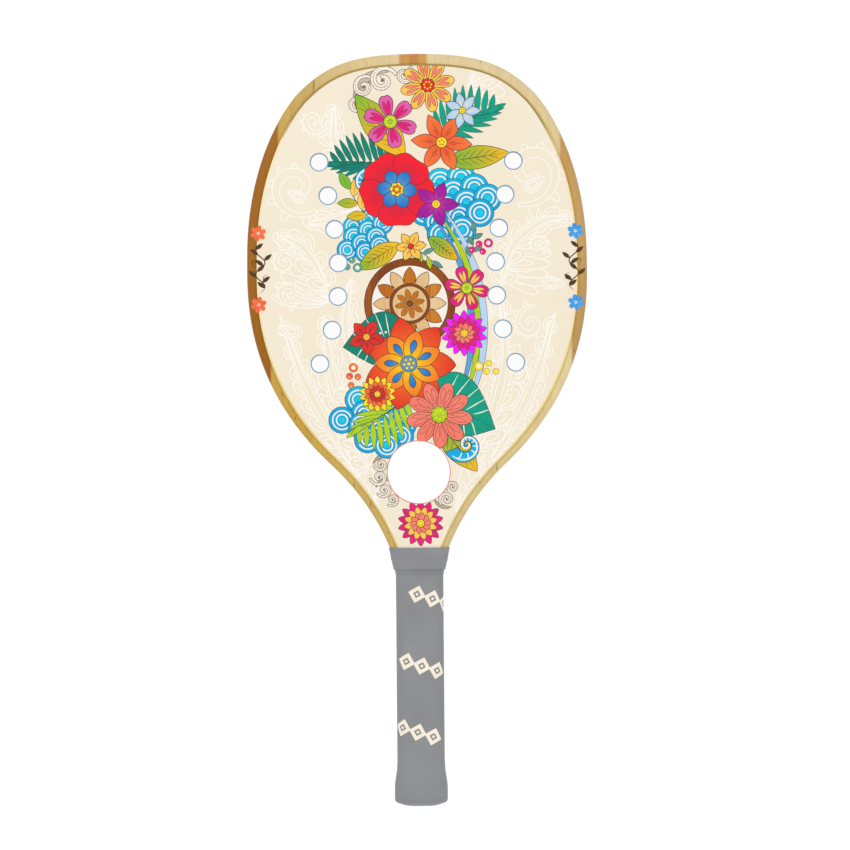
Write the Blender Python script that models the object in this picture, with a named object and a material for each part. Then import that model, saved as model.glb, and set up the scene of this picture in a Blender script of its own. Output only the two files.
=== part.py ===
"""Beach tennis racket: a hollow tube frame round a foam core, with a bonded face on each side
and a wrapped handle.

Metres, +Z up. The racket lies on its back: +Y runs from the butt to the tip, +X across the head,
+Z out of the front face. The origin is the middle of the base of the whole racket's box.
A "reach" is a distance from the tip towards the butt, and heights are from the mid-plane.
"""

import math

import bmesh
import bpy
from mathutils import Vector
from mathutils.geometry import tessellate_polygon

COLLECTION_NAME = "beach_tennis_racket"

# Bond line or running gap between two pieces
CLEARANCE = 0.0003

# Head outline, from the tip to the top of the collar. A heading is an angle from straight down
# the handle, and a pull is the length of a curve handle before and after its anchor.
LENGTH = 0.500
TIP_PULL = 0.0408
SHOULDER_HALF_WIDTH = 0.0780
SHOULDER_REACH = 0.0255
SHOULDER_HEADING = math.radians(45.0)
SHOULDER_PULLS = (0.0270, 0.0109)
HEAD_HALF_WIDTH = 0.1129
WIDEST_REACH = 0.1354
WIDEST_PULLS = (0.0651, 0.0216)
FLANK_HALF_WIDTH = 0.0581
FLANK_REACH = 0.2727
FLANK_HEADING = math.radians(-46.7)
FLANK_PULLS = (0.0814, 0.0302)
THROAT_HALF_WIDTH = 0.0199
THROAT_REACH = 0.3275
THROAT_HEADING = math.radians(-22.3)
THROAT_PULLS = (0.0145, 0.0060)
NECK_LENGTH = 0.0120
NECK_PULL = 0.0030

# Frame tube
HEAD_THICKNESS = 0.022
EDGE_RADIUS = 0.0035
RIM_CHAMFER = 0.0004
RIM_FLAT_TIP = 0.0028
RIM_FLAT_WIDEST = 0.0024
RIM_FLAT_THROAT = 0.0003
RIM_TAPER_START = 0.020
LEDGE_WIDTH = 0.0035
TUBE_WALL = 0.0013

# Layers of a face, from the core outwards
FACE_SHEET_THICKNESS = 0.0007
DECAL_THICKNESS = 0.0003
DECAL_RECESS = 0.0002

# Holes through the head
THROAT_HOLE_RADIUS = 0.0207
THROAT_HOLE_TO_COLLAR = 0.0494
THROAT_HOLE_SIDES = 36
SMALL_HOLE_RADIUS = 0.0055
SMALL_HOLE_SIDES = 14
HOLES_PER_SIDE = 7
HOLE_ROW_REACH = 0.0715
HOLE_PITCH = 0.02234
HOLE_ROW_OFFSET = 0.0521
HOLE_ROW_WAIST = 0.1463
HOLE_ROW_RADIUS = 0.164
HOLE_ROW_LEAN = 11.0

# Handle under the wrap
GRIP_WIDTH = 0.0315
WRAP_THICKNESS = 0.0018
PALLET_THICKNESS = 0.0016
HANDLE_ROUNDING = 0.0025

# Wrap: one ribbon wound down the handle
WRAP_PITCH = 0.0223
WRAP_SEAM = 0.0006
WRAP_TOP_GAP = 0.0008
WRAP_TONGUE = 0.002
WRAP_STRIPS = 4

# Finishing tape and collar at the top of the wrap
TAPE_WIDTH = 0.0055
TAPE_THICKNESS = 0.0003
COLLAR_GAP = 0.0008
COLLAR_OVERLAP = 0.0026
COLLAR_LIP_WALL = 0.0004
COLLAR_WALL = 0.0009
# Share of the collar's length, shares of the way from the throat's width and height to the
# grip's, and share of the wall
COLLAR_OUTSIDE = (
    (0.08, 0.10, 0.01, 0.42),
    (0.27, 0.30, 0.14, 0.50),
    (0.47, 0.57, 0.46, 1.00),
    (0.67, 0.79, 0.86, 1.00),
    (0.88, 1.00, 1.00, 1.00),
    (0.96, 1.00, 1.00, 0.75),
    (1.00, 1.00, 1.00, 0.42),
)
COLLAR_INSIDE = ((0.52, 0.58, 0.30), (0.25, 0.25, 0.02), (0.00, 0.00, 0.00))

# Butt cap
BUTT_FLARE = 0.00185
FLARE_LENGTH = 0.016
CAP_SKIRT = 0.0200
CAP_SKIRT_WALL = 0.00075
CAP_END_WALL = 0.0079
CAP_RIM_HEIGHT = 0.0054
CAP_END_RADIUS = 0.0030
CAP_END_SWEEP = math.radians(62.0)
CAP_DOME = 0.0024
CAP_FLAT_HALF_WIDTH = 0.0055

# Facets
SHOULDER_STEPS = 5
SIDE_STEPS = 9
FLANK_STEPS = 9
THROAT_STEPS = 5
NECK_STEPS = 4
CORNER_STEPS = 3
FLARE_STEPS = 5
CAP_END_STEPS = 3
CAP_DOME_STEPS = 4
SMOOTH_ANGLE = math.radians(32.0)

# Worked out from the values above
HALF_THICKNESS = HEAD_THICKNESS / 2
DECAL_TOP = HALF_THICKNESS - DECAL_RECESS
DECAL_BOTTOM = DECAL_TOP - DECAL_THICKNESS
FACE_SHEET_TOP = DECAL_BOTTOM - CLEARANCE
FACE_SHEET_BOTTOM = FACE_SHEET_TOP - FACE_SHEET_THICKNESS
LEDGE_HEIGHT = FACE_SHEET_BOTTOM - CLEARANCE
BORE_HALF_HEIGHT = LEDGE_HEIGHT - TUBE_WALL

HANDLE_HALF_WIDTH = GRIP_WIDTH / 2 - WRAP_THICKNESS - CLEARANCE
HANDLE_HALF_THICKNESS = HALF_THICKNESS + CLEARANCE + PALLET_THICKNESS
HANDLE_CORNER = EDGE_RADIUS + HANDLE_ROUNDING
SHAFT_TOP = THROAT_REACH + NECK_LENGTH
PALLET_TOP = SHAFT_TOP + 2 * CLEARANCE
THROAT_RIM = EDGE_RADIUS + RIM_FLAT_THROAT + RIM_CHAMFER
SHAFT_WIDTH = THROAT_RIM + LEDGE_WIDTH

SHAFT_END = LENGTH - CAP_END_WALL - CLEARANCE
CAP_TOP = SHAFT_END - CAP_SKIRT
CAP_SEAT_STEP = CAP_SKIRT_WALL + CLEARANCE
CAP_SEAT_END = CAP_TOP - CLEARANCE
CAP_SEAT_START = CAP_SEAT_END - CAP_SEAT_STEP
FLANGE_TOP = LENGTH - CAP_RIM_HEIGHT

WRAP_TOP = SHAFT_TOP + WRAP_TOP_GAP
WRAP_END = FLANGE_TOP - CLEARANCE
WRAP_OFFSET = CLEARANCE + WRAP_THICKNESS
TAPE_OFFSET = WRAP_OFFSET + CLEARANCE
COLLAR_TOP = THROAT_REACH + COLLAR_GAP
COLLAR_LENGTH = WRAP_TOP + COLLAR_OVERLAP - COLLAR_TOP
COLLAR_OFFSET = TAPE_OFFSET + TAPE_THICKNESS + CLEARANCE

BUTT_OFFSET = WRAP_OFFSET + BUTT_FLARE
MIDPLANE_HEIGHT = HANDLE_HALF_THICKNESS + max(BUTT_OFFSET, COLLAR_OFFSET + COLLAR_WALL)


def smoothstep(value, start, end):
    """0 before start, 1 after end, and a smooth rise between them."""
    share = min(max((value - start) / (end - start), 0.0), 1.0)
    return share * share * (3.0 - 2.0 * share)


def blend(start, end, share):
    return start + (end - start) * share


# Outline

def bezier_point(controls, share):
    """Position and unit tangent on a cubic curve."""
    a, b, c, d = controls
    rest = 1.0 - share
    position = a * rest ** 3 + b * 3 * rest ** 2 * share + c * 3 * rest * share ** 2 + d * share ** 3
    tangent = (b - a) * rest ** 2 + (c - b) * 2 * rest * share + (d - c) * share ** 2
    return position, tangent.normalized()


def outline_stations():
    """The +X half of the frame's outer edge, from the tip to the shaft's end.

    Each station is (position, inward normal) in the plane of half width and reach.
    """
    # anchor, heading, pull before and after, steps to the next anchor
    anchors = (
        ((0.0, 0.0), math.radians(90.0), (0.0, TIP_PULL), SHOULDER_STEPS),
        ((SHOULDER_HALF_WIDTH, SHOULDER_REACH), SHOULDER_HEADING, SHOULDER_PULLS, SIDE_STEPS),
        ((HEAD_HALF_WIDTH, WIDEST_REACH), 0.0, WIDEST_PULLS, FLANK_STEPS),
        ((FLANK_HALF_WIDTH, FLANK_REACH), FLANK_HEADING, FLANK_PULLS, THROAT_STEPS),
        ((THROAT_HALF_WIDTH, THROAT_REACH), THROAT_HEADING, THROAT_PULLS, NECK_STEPS),
        ((HANDLE_HALF_WIDTH, SHAFT_TOP), 0.0, (NECK_PULL, 0.0), 0),
    )
    stations = []
    for leaving, arriving in zip(anchors, anchors[1:]):
        start, start_heading, start_pulls, steps = leaving
        end, end_heading, end_pulls, _ = arriving
        first, last = Vector(start), Vector(end)
        leave = Vector((math.sin(start_heading), math.cos(start_heading))) * start_pulls[1]
        arrive = Vector((math.sin(end_heading), math.cos(end_heading))) * end_pulls[0]
        controls = (first, first + leave, last - arrive, last)
        for step in range(steps):
            position, tangent = bezier_point(controls, step / steps)
            stations.append((position, Vector((-tangent.y, tangent.x))))
    seat_half_width = HANDLE_HALF_WIDTH - CAP_SEAT_STEP
    inward = Vector((-1.0, 0.0))
    stations.append((Vector((HANDLE_HALF_WIDTH, SHAFT_TOP)), inward))
    stations.append((Vector((HANDLE_HALF_WIDTH, CAP_SEAT_START)), inward))
    stations.append((Vector((seat_half_width, CAP_SEAT_END)), inward))
    stations.append((Vector((seat_half_width, SHAFT_END)), inward))
    return stations


def rim_width(reach):
    """Width of the bare rim beside the faces, from the rounded edge to the chamfer."""
    upper = blend(RIM_FLAT_TIP, RIM_FLAT_WIDEST, smoothstep(reach, RIM_TAPER_START, WIDEST_REACH))
    flat = blend(upper, RIM_FLAT_THROAT, smoothstep(reach, WIDEST_REACH, THROAT_REACH))
    return EDGE_RADIUS + flat + RIM_CHAMFER


def mirrored(stations):
    """Stations all the way round, from the -X end over the tip to the +X end."""
    left = [(Vector((-p.x, p.y)), Vector((-n.x, n.y))) for p, n in reversed(stations[1:])]
    return left + stations


def inset_outline(inside_ledge):
    """Outline of the core, inside the ledge, or of a face, inside the rim, down to the shafts."""
    points = []
    for position, normal in mirrored(outline_stations()):
        if position.y < SHAFT_TOP + CLEARANCE:
            depth = rim_width(position.y) + CLEARANCE + (LEDGE_WIDTH if inside_ledge else 0.0)
            points.append(position + normal * depth)
    return points


def hole_circles():
    """Centre, radius and sides of every hole through the head."""
    throat = (0.0, THROAT_REACH - THROAT_HOLE_TO_COLLAR)
    circles = [(throat, THROAT_HOLE_RADIUS, THROAT_HOLE_SIDES)]
    for index in range(HOLES_PER_SIDE):
        reach = HOLE_ROW_REACH + index * HOLE_PITCH
        down = reach - HOLE_ROW_WAIST
        across = HOLE_ROW_OFFSET + down ** 2 / (2 * HOLE_ROW_RADIUS) + HOLE_ROW_LEAN * down ** 3
        for side in (-1, 1):
            circles.append(((side * across, reach), SMALL_HOLE_RADIUS, SMALL_HOLE_SIDES))
    return circles


def circle_points(centre, radius, sides):
    turns = [2 * math.pi * (index + 0.5) / sides for index in range(sides)]
    return [Vector((centre[0] + radius * math.cos(t), centre[1] + radius * math.sin(t))) for t in turns]


# Building

def clear_scene():
    for item in list(bpy.data.objects):
        bpy.data.objects.remove(item, do_unlink=True)


def make_material(name, colour, roughness, metallic=0.0):
    material = bpy.data.materials.new(name)
    material.use_nodes = True
    shader = material.node_tree.nodes["Principled BSDF"]
    shader.inputs["Base Color"].default_value = (*colour, 1.0)
    shader.inputs["Roughness"].default_value = roughness
    shader.inputs["Metallic"].default_value = metallic
    material.diffuse_color = (*colour, 1.0)
    return material


def in_frame(across, reach, height):
    """A point of the racket under its mid-plane empty, which stands at the tip."""
    return Vector((across, -reach, height))


def add_piece(name, mesh, material, midplane, collection):
    piece = bpy.data.objects.new(name, mesh)
    mesh.materials.clear()
    mesh.materials.append(material)
    mesh.shade_smooth()
    mesh.set_sharp_from_angle(angle=SMOOTH_ANGLE)
    collection.objects.link(piece)
    piece.parent = midplane
    return piece


def plate_mesh(name, loops, bottom, top):
    """A flat plate between two heights, filled between its outline and its holes."""
    curve = bpy.data.curves.new(name, "CURVE")
    curve.dimensions = "2D"
    curve.fill_mode = "BOTH"
    curve.extrude = (top - bottom) / 2
    for loop in loops:
        spline = curve.splines.new("POLY")
        spline.points.add(len(loop) - 1)
        for point, place in zip(spline.points, loop):
            point.co = (place.x, -place.y, 0.0, 1.0)
        spline.use_cyclic_u = True
    guide = bpy.data.objects.new(name + "_outline", curve)
    bpy.context.scene.collection.objects.link(guide)
    evaluated = guide.evaluated_get(bpy.context.evaluated_depsgraph_get())
    mesh = bpy.data.meshes.new_from_object(evaluated)
    bpy.data.objects.remove(guide, do_unlink=True)
    bpy.data.curves.remove(curve)
    build = bmesh.new()
    build.from_mesh(mesh)
    bmesh.ops.remove_doubles(build, verts=build.verts, dist=CLEARANCE / 10)
    bmesh.ops.translate(build, verts=build.verts, vec=(0.0, 0.0, (top + bottom) / 2))
    bmesh.ops.recalc_face_normals(build, faces=build.faces)
    build.to_mesh(mesh)
    build.free()
    return mesh


def loft_mesh(name, rings, closed=False):
    """A skin over rings of equally many points, capped at both ends or closed on itself."""
    build = bmesh.new()
    rows = [[build.verts.new(point) for point in ring] for ring in rings]
    count = len(rows[0])
    pairs = list(zip(rows, rows[1:]))
    if closed:
        pairs.append((rows[-1], rows[0]))
    for one, other in pairs:
        for index in range(count):
            after = (index + 1) % count
            build.faces.new((one[index], one[after], other[after], other[index]))
    if not closed:
        build.faces.new(rows[0][::-1])
        build.faces.new(rows[-1])
    bmesh.ops.recalc_face_normals(build, faces=build.faces)
    mesh = bpy.data.meshes.new(name)
    build.to_mesh(mesh)
    build.free()
    return mesh


# Sections

def tube_section(rim):
    """Outer edge of the frame tube's section: (depth from the outside, height)."""
    corner = HALF_THICKNESS - EDGE_RADIUS
    upper = []
    for step in range(CORNER_STEPS + 1):
        angle = math.radians(90.0) * step / CORNER_STEPS
        upper.append((EDGE_RADIUS * (1 - math.cos(angle)), corner + EDGE_RADIUS * math.sin(angle)))
    upper += [
        (rim - RIM_CHAMFER, HALF_THICKNESS),
        (rim, HALF_THICKNESS - RIM_CHAMFER),
        (rim, LEDGE_HEIGHT),
        (rim + LEDGE_WIDTH, LEDGE_HEIGHT),
    ]
    return upper + [(depth, -height) for depth, height in reversed(upper)]


def bore_section(rim, margin):
    """The tube's hollow, or with a margin the foam inside it."""
    outer, inner = TUBE_WALL + margin, rim + LEDGE_WIDTH - TUBE_WALL - margin
    half = BORE_HALF_HEIGHT - margin
    return [(outer, half), (inner, half), (inner, -half), (outer, -half)]


def section_ring(station, section):
    position, normal = station
    ring = []
    for depth, height in section:
        place = position + normal * depth
        ring.append(in_frame(place.x, place.y, height))
    return ring


def rounded_rectangle(half_width, half_height, radius):
    """Points round a rectangle with rounded corners, from the foot of its +X +Z corner."""
    radius = min(radius, half_width - CLEARANCE, half_height - CLEARANCE)
    points = []
    for quarter in range(4):
        across = (half_width - radius) * (1 if quarter in (0, 3) else -1)
        up = (half_height - radius) * (1 if quarter in (0, 1) else -1)
        for step in range(CORNER_STEPS + 1):
            angle = math.radians(90.0) * (quarter + step / CORNER_STEPS)
            points.append((across + radius * math.cos(angle), up + radius * math.sin(angle)))
    return points


def handle_swell(reach):
    """How far the handle's surface stands out over the butt flare."""
    return BUTT_FLARE * smoothstep(reach, CAP_TOP, CAP_TOP + FLARE_LENGTH)


def handle_ring(reach, offset):
    """A ring round the handle, a distance outside its bare surface."""
    grow = offset + handle_swell(reach)
    half_width, half_height = HANDLE_HALF_WIDTH + grow, HANDLE_HALF_THICKNESS + grow
    section = rounded_rectangle(half_width, half_height, HANDLE_CORNER + grow)
    return [in_frame(across, reach, height) for across, height in section]


# Frame, core and faces

def frame_tube_mesh():
    """The hoop and its two shafts in one hollow tube, open at both ends."""
    stations = mirrored(outline_stations())
    build = bmesh.new()
    skins = []
    for section_of in (tube_section, lambda rim: bore_section(rim, 0.0)):
        rings = [section_ring(st, section_of(rim_width(st[0].y))) for st in stations]
        skins.append([[build.verts.new(point) for point in ring] for ring in rings])
    for rows in skins:
        for one, other in zip(rows, rows[1:]):
            for index in range(len(one)):
                after = (index + 1) % len(one)
                build.faces.new((one[index], one[after], other[after], other[index]))
    for end in (0, -1):
        loops = [rows[end] for rows in skins]
        corners = loops[0] + loops[1]
        for triangle in tessellate_polygon([[vert.co for vert in loop] for loop in loops]):
            build.faces.new([corners[index] for index in triangle])
    bmesh.ops.recalc_face_normals(build, faces=build.faces)
    mesh = bpy.data.meshes.new("frame_tube")
    build.to_mesh(mesh)
    build.free()
    return mesh


def frame_foam_mesh():
    rings = [section_ring(st, bore_section(rim_width(st[0].y), CLEARANCE))
             for st in mirrored(outline_stations())]
    return loft_mesh("frame_foam", rings)


def head_plate_mesh(name, bottom, top, inside_ledge=False):
    holes = [circle_points(*circle) for circle in hole_circles()]
    return plate_mesh(name, [inset_outline(inside_ledge)] + holes, bottom, top)


def face_sheet_mesh(name, side):
    bottom, top = sorted((side * FACE_SHEET_BOTTOM, side * FACE_SHEET_TOP))
    return head_plate_mesh(name, bottom, top)


def decal_mesh(name, side):
    bottom, top = sorted((side * DECAL_BOTTOM, side * DECAL_TOP))
    return head_plate_mesh(name, bottom, top)


# Handle

def handle_core_mesh():
    """The filler between the two shafts, stepped in where the cap's seat draws them together."""
    wide = HANDLE_HALF_WIDTH - SHAFT_WIDTH - CLEARANCE
    narrow = wide - CAP_SEAT_STEP
    half = [(wide, PALLET_TOP), (wide, CAP_SEAT_START), (narrow, CAP_SEAT_START), (narrow, SHAFT_END)]
    outline = [Vector(point) for point in half]
    outline += [Vector((-point.x, point.y)) for point in reversed(outline)]
    return plate_mesh("handle_core", [outline], -LEDGE_HEIGHT, LEDGE_HEIGHT)


def pallet_mesh(name, side):
    """A long shell on the shafts, keyed between their rims, that rounds the handle out."""
    foot = HALF_THICKNESS + CLEARANCE
    tongue = HANDLE_HALF_WIDTH - THROAT_RIM - CLEARANCE
    section = rounded_rectangle(HANDLE_HALF_WIDTH, HANDLE_HALF_THICKNESS, HANDLE_CORNER)
    corner = section[:CORNER_STEPS + 1]
    arc = [point for point in corner if point[1] > foot]
    below = corner[len(corner) - len(arc) - 1]
    share = (foot - below[1]) / (arc[0][1] - below[1])
    skirt = (blend(below[0], arc[0][0], share), foot)
    half = [(tongue, LEDGE_HEIGHT + CLEARANCE), (tongue, foot), skirt] + arc
    profile = half + [(-across, height) for across, height in reversed(half)]
    rings = [[in_frame(across, reach, side * height) for across, height in profile]
             for reach in (PALLET_TOP, CAP_SEAT_START)]
    return loft_mesh(name, rings)


def butt_cap_mesh():
    """A cup over the shafts' ends, flared outside, with a rounded closed end."""
    seat_width = HANDLE_HALF_WIDTH - CAP_SKIRT_WALL
    seat_height = HALF_THICKNESS + CLEARANCE
    seat = rounded_rectangle(seat_width, seat_height, EDGE_RADIUS + CLEARANCE)
    rings = [[in_frame(across, reach, height) for across, height in seat]
             for reach in (SHAFT_END + CLEARANCE, CAP_TOP)]
    for step in range(FLARE_STEPS + 1):
        rings.append(handle_ring(CAP_TOP + FLARE_LENGTH * step / FLARE_STEPS, 0.0))
    rings.append(handle_ring(FLANGE_TOP, 0.0))
    rings.append(handle_ring(FLANGE_TOP, WRAP_OFFSET))

    half_width = HANDLE_HALF_WIDTH + BUTT_OFFSET
    half_height = HANDLE_HALF_THICKNESS + BUTT_OFFSET
    corner = HANDLE_CORNER + BUTT_OFFSET
    side = CAP_RIM_HEIGHT - CAP_END_RADIUS * math.sin(CAP_END_SWEEP) - CAP_DOME
    profile = []
    for step in range(CAP_END_STEPS + 1):
        angle = CAP_END_SWEEP * step / CAP_END_STEPS
        inset = CAP_END_RADIUS * (1 - math.cos(angle))
        profile.append((inset, side + CAP_END_RADIUS * math.sin(angle)))
    arc_inset, arc_depth = profile[-1]
    for step in range(1, CAP_DOME_STEPS + 1):
        share = step / CAP_DOME_STEPS
        rise = math.sin(math.radians(90.0) * share)
        inset = blend(arc_inset, half_width - CAP_FLAT_HALF_WIDTH, share)
        profile.append((inset, blend(arc_depth, CAP_RIM_HEIGHT, rise)))
    for inset, depth in profile:
        rounding = max(corner - inset, CAP_END_RADIUS)
        section = rounded_rectangle(half_width - inset, half_height - inset, rounding)
        rings.append([in_frame(across, FLANGE_TOP + depth, height) for across, height in section])
    return loft_mesh("butt_cap", rings)


# Wrap, tape and collar

def wrap_steps():
    """Corner of the handle's section and reach of the ribbon's upper edge, step by step."""
    base = rounded_rectangle(HANDLE_HALF_WIDTH, HANDLE_HALF_THICKNESS, HANDLE_CORNER)
    lengths = [math.dist(point, base[index - 1]) for index, point in enumerate(base)]
    travelled = [sum(lengths[1:index + 1]) / sum(lengths) for index in range(len(base))]
    start = WRAP_TOP + WRAP_TONGUE - (WRAP_PITCH - WRAP_SEAM)
    steps = []
    upper = start
    while upper <= WRAP_END - WRAP_TONGUE:
        turn, index = divmod(len(steps), len(base))
        upper = start + WRAP_PITCH * (turn + travelled[index])
        steps.append((index, upper))
    return steps[:-1], len(base)


def wrap_sections():
    """Rings across the ribbon as it winds down, cut level at the top and at the butt."""
    steps, steps_per_turn = wrap_steps()
    sections = []
    for index, upper in steps:
        first = max(upper, WRAP_TOP)
        last = min(upper + WRAP_PITCH - WRAP_SEAM, WRAP_END)
        reaches = [blend(first, last, step / WRAP_STRIPS) for step in range(WRAP_STRIPS + 1)]
        inner = [handle_ring(reach, CLEARANCE)[index] for reach in reaches]
        outer = [handle_ring(reach, WRAP_OFFSET)[index] for reach in reversed(reaches)]
        sections.append([Vector((-point.x, point.y, point.z)) for point in inner + outer])
    return sections, steps_per_turn


def wrap_gap(sections, steps_per_turn):
    """Least distance between one turn's lower edge and the next turn's upper edge."""
    upper, lower = 0, WRAP_STRIPS
    gaps = []
    for index, section in enumerate(sections[:-steps_per_turn]):
        point = section[lower]
        for near in range(-1, 2):
            follow = index + steps_per_turn + near
            if follow + 1 < len(sections):
                start, end = sections[follow][upper], sections[follow + 1][upper]
                edge = end - start
                share = min(max((point - start).dot(edge) / edge.length_squared, 0.0), 1.0)
                gaps.append((point - start - edge * share).length)
    return min(gaps)


def base_grip_mesh():
    sections, steps_per_turn = wrap_sections()
    print(f"wrap: {len(sections) / steps_per_turn:.1f} turns,",
          f"least gap to itself {wrap_gap(sections, steps_per_turn) * 1000:.2f} mm")
    return loft_mesh("base_grip", sections)


def finishing_tape_mesh():
    start, end = WRAP_TOP, WRAP_TOP + TAPE_WIDTH
    outer = TAPE_OFFSET + TAPE_THICKNESS
    rings = [handle_ring(reach, offset) for reach, offset in
             ((start, TAPE_OFFSET), (start, outer), (end, outer), (end, TAPE_OFFSET))]
    return loft_mesh("finishing_tape", rings, closed=True)


def collar_mesh():
    """A rubber ring from the throat's flat section to the wrapped handle's rounder one."""
    grip_width = HANDLE_HALF_WIDTH + COLLAR_OFFSET
    grip_height = HANDLE_HALF_THICKNESS + COLLAR_OFFSET
    grip_corner = HANDLE_CORNER + COLLAR_OFFSET
    throat_width = THROAT_HALF_WIDTH
    throat_height = HALF_THICKNESS + CLEARANCE
    throat_corner = EDGE_RADIUS + CLEARANCE
    lip = COLLAR_LIP_WALL / COLLAR_WALL
    over_wrap = (WRAP_TOP - CLEARANCE - COLLAR_TOP) / COLLAR_LENGTH
    outside = ((0.0, 0.0, 0.0, lip),) + COLLAR_OUTSIDE
    inside = ((1.0, 1.0, 1.0), (over_wrap, 1.0, 1.0)) + COLLAR_INSIDE
    rings = []
    for along, in_width, in_height, wall in outside + tuple((*row, 0.0) for row in inside):
        section = rounded_rectangle(
            blend(throat_width, grip_width, in_width) + wall * COLLAR_WALL,
            blend(throat_height, grip_height, in_height) + wall * COLLAR_WALL,
            blend(throat_corner, grip_corner, in_height) + wall * COLLAR_WALL,
        )
        reach = COLLAR_TOP + COLLAR_LENGTH * along
        rings.append([in_frame(across, reach, height) for across, height in section])
    return loft_mesh("collar", rings, closed=True)


def main():
    clear_scene()
    collection = bpy.data.collections.new(COLLECTION_NAME)
    bpy.context.scene.collection.children.link(collection)
    midplane = bpy.data.objects.new("midplane", None)
    midplane.location = (0.0, LENGTH / 2, MIDPLANE_HEIGHT)
    collection.objects.link(midplane)

    wood = make_material("wood_look_shell", (0.62, 0.42, 0.20), 0.35)
    foam = make_material("filler_foam", (0.80, 0.74, 0.55), 0.90)
    core = make_material("core_foam", (0.90, 0.90, 0.88), 0.85)
    laminate = make_material("face_laminate", (0.75, 0.60, 0.38), 0.40)
    print_film = make_material("printed_film", (0.91, 0.82, 0.68), 0.30)
    handle_plastic = make_material("handle_plastic", (0.12, 0.12, 0.13), 0.60)
    cap_rubber = make_material("cap_rubber", (0.26, 0.27, 0.29), 0.65)
    wrap = make_material("grip_wrap", (0.27, 0.28, 0.30), 0.75)
    tape = make_material("finishing_tape", (0.25, 0.26, 0.28), 0.50)
    collar_rubber = make_material("collar_rubber", (0.26, 0.27, 0.29), 0.60)

    pieces = (
        ("frame_tube", frame_tube_mesh(), wood),
        ("frame_foam", frame_foam_mesh(), foam),
        ("eva_core", head_plate_mesh("eva_core", -LEDGE_HEIGHT, LEDGE_HEIGHT, True), core),
        ("front_face_sheet", face_sheet_mesh("front_face_sheet", 1), laminate),
        ("back_face_sheet", face_sheet_mesh("back_face_sheet", -1), laminate),
        ("front_decal", decal_mesh("front_decal", 1), print_film),
        ("back_decal", decal_mesh("back_decal", -1), print_film),
        ("handle_core", handle_core_mesh(), foam),
        ("front_pallet", pallet_mesh("front_pallet", 1), handle_plastic),
        ("back_pallet", pallet_mesh("back_pallet", -1), handle_plastic),
        ("butt_cap", butt_cap_mesh(), cap_rubber),
        ("base_grip", base_grip_mesh(), wrap),
        ("finishing_tape", finishing_tape_mesh(), tape),
        ("collar", collar_mesh(), collar_rubber),
    )
    for name, mesh, material in pieces:
        add_piece(name, mesh, material, midplane, collection)
    bpy.context.view_layer.update()


main()
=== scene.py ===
"""Looks of the beach tennis racket: wood-look rim, printed faces, grey grip.

Metres, in the frame of the CAD model: +Y from the butt to the tip, +X across, +Z out of the
front face. A "reach" is a distance from the tip towards the butt.
"""

import functools
import math

import bmesh
import bpy
from mathutils import Matrix, Vector
from mathutils.geometry import delaunay_2d_cdt, intersect_point_line


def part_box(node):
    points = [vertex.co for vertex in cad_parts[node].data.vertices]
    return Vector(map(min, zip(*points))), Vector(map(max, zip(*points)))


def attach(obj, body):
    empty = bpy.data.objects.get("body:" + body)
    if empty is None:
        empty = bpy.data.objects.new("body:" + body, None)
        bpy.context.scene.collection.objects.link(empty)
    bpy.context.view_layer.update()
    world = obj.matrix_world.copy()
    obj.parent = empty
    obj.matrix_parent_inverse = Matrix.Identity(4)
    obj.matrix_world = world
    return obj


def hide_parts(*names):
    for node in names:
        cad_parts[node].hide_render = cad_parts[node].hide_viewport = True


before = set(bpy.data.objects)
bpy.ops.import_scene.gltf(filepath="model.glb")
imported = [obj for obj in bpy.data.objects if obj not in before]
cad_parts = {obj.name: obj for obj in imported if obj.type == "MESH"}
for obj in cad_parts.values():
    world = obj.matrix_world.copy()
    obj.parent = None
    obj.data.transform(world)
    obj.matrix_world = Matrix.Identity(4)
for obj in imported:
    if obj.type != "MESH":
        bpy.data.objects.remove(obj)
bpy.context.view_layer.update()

MM = 0.001

# Heights and reaches from the frame
TUBE_LOW, TUBE_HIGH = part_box("frame_tube")
TAPE_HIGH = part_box("finishing_tape")[1]
MIDPLANE = (TUBE_LOW.z + TUBE_HIGH.z) / 2
HALF_THICKNESS = (TUBE_HIGH.z - TUBE_LOW.z) / 2
TIP_Y = TUBE_HIGH.y
SHEET_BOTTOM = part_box("front_face_sheet")[0].z - MIDPLANE
FILM_BOTTOM, FILM_TOP = (corner.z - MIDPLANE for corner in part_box("front_decal"))


def span(node):
    """Reaches of a node's two ends."""
    low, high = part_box(node)
    return TIP_Y - high.y, TIP_Y - low.y


SHAFT_END = span("frame_tube")[1]
CAP_TOP, LENGTH = span("butt_cap")
WRAP_TOP, WRAP_END = span("base_grip")
TAPE_TOP, TAPE_END = span("finishing_tape")
COLLAR_TOP, COLLAR_END = span("collar")

# Handle, bare and under its layers
CLEARANCE = 0.0003
WRAP_THICKNESS = 0.0018
WRAP_OFFSET = CLEARANCE + WRAP_THICKNESS
TAPE_THICKNESS = 0.0003
TAPE_OFFSET = WRAP_OFFSET + CLEARANCE
HANDLE_HALF_WIDTH = TAPE_HIGH.x - TAPE_OFFSET - TAPE_THICKNESS
HANDLE_HALF_THICKNESS = TAPE_HIGH.z - MIDPLANE - TAPE_OFFSET - TAPE_THICKNESS

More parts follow.
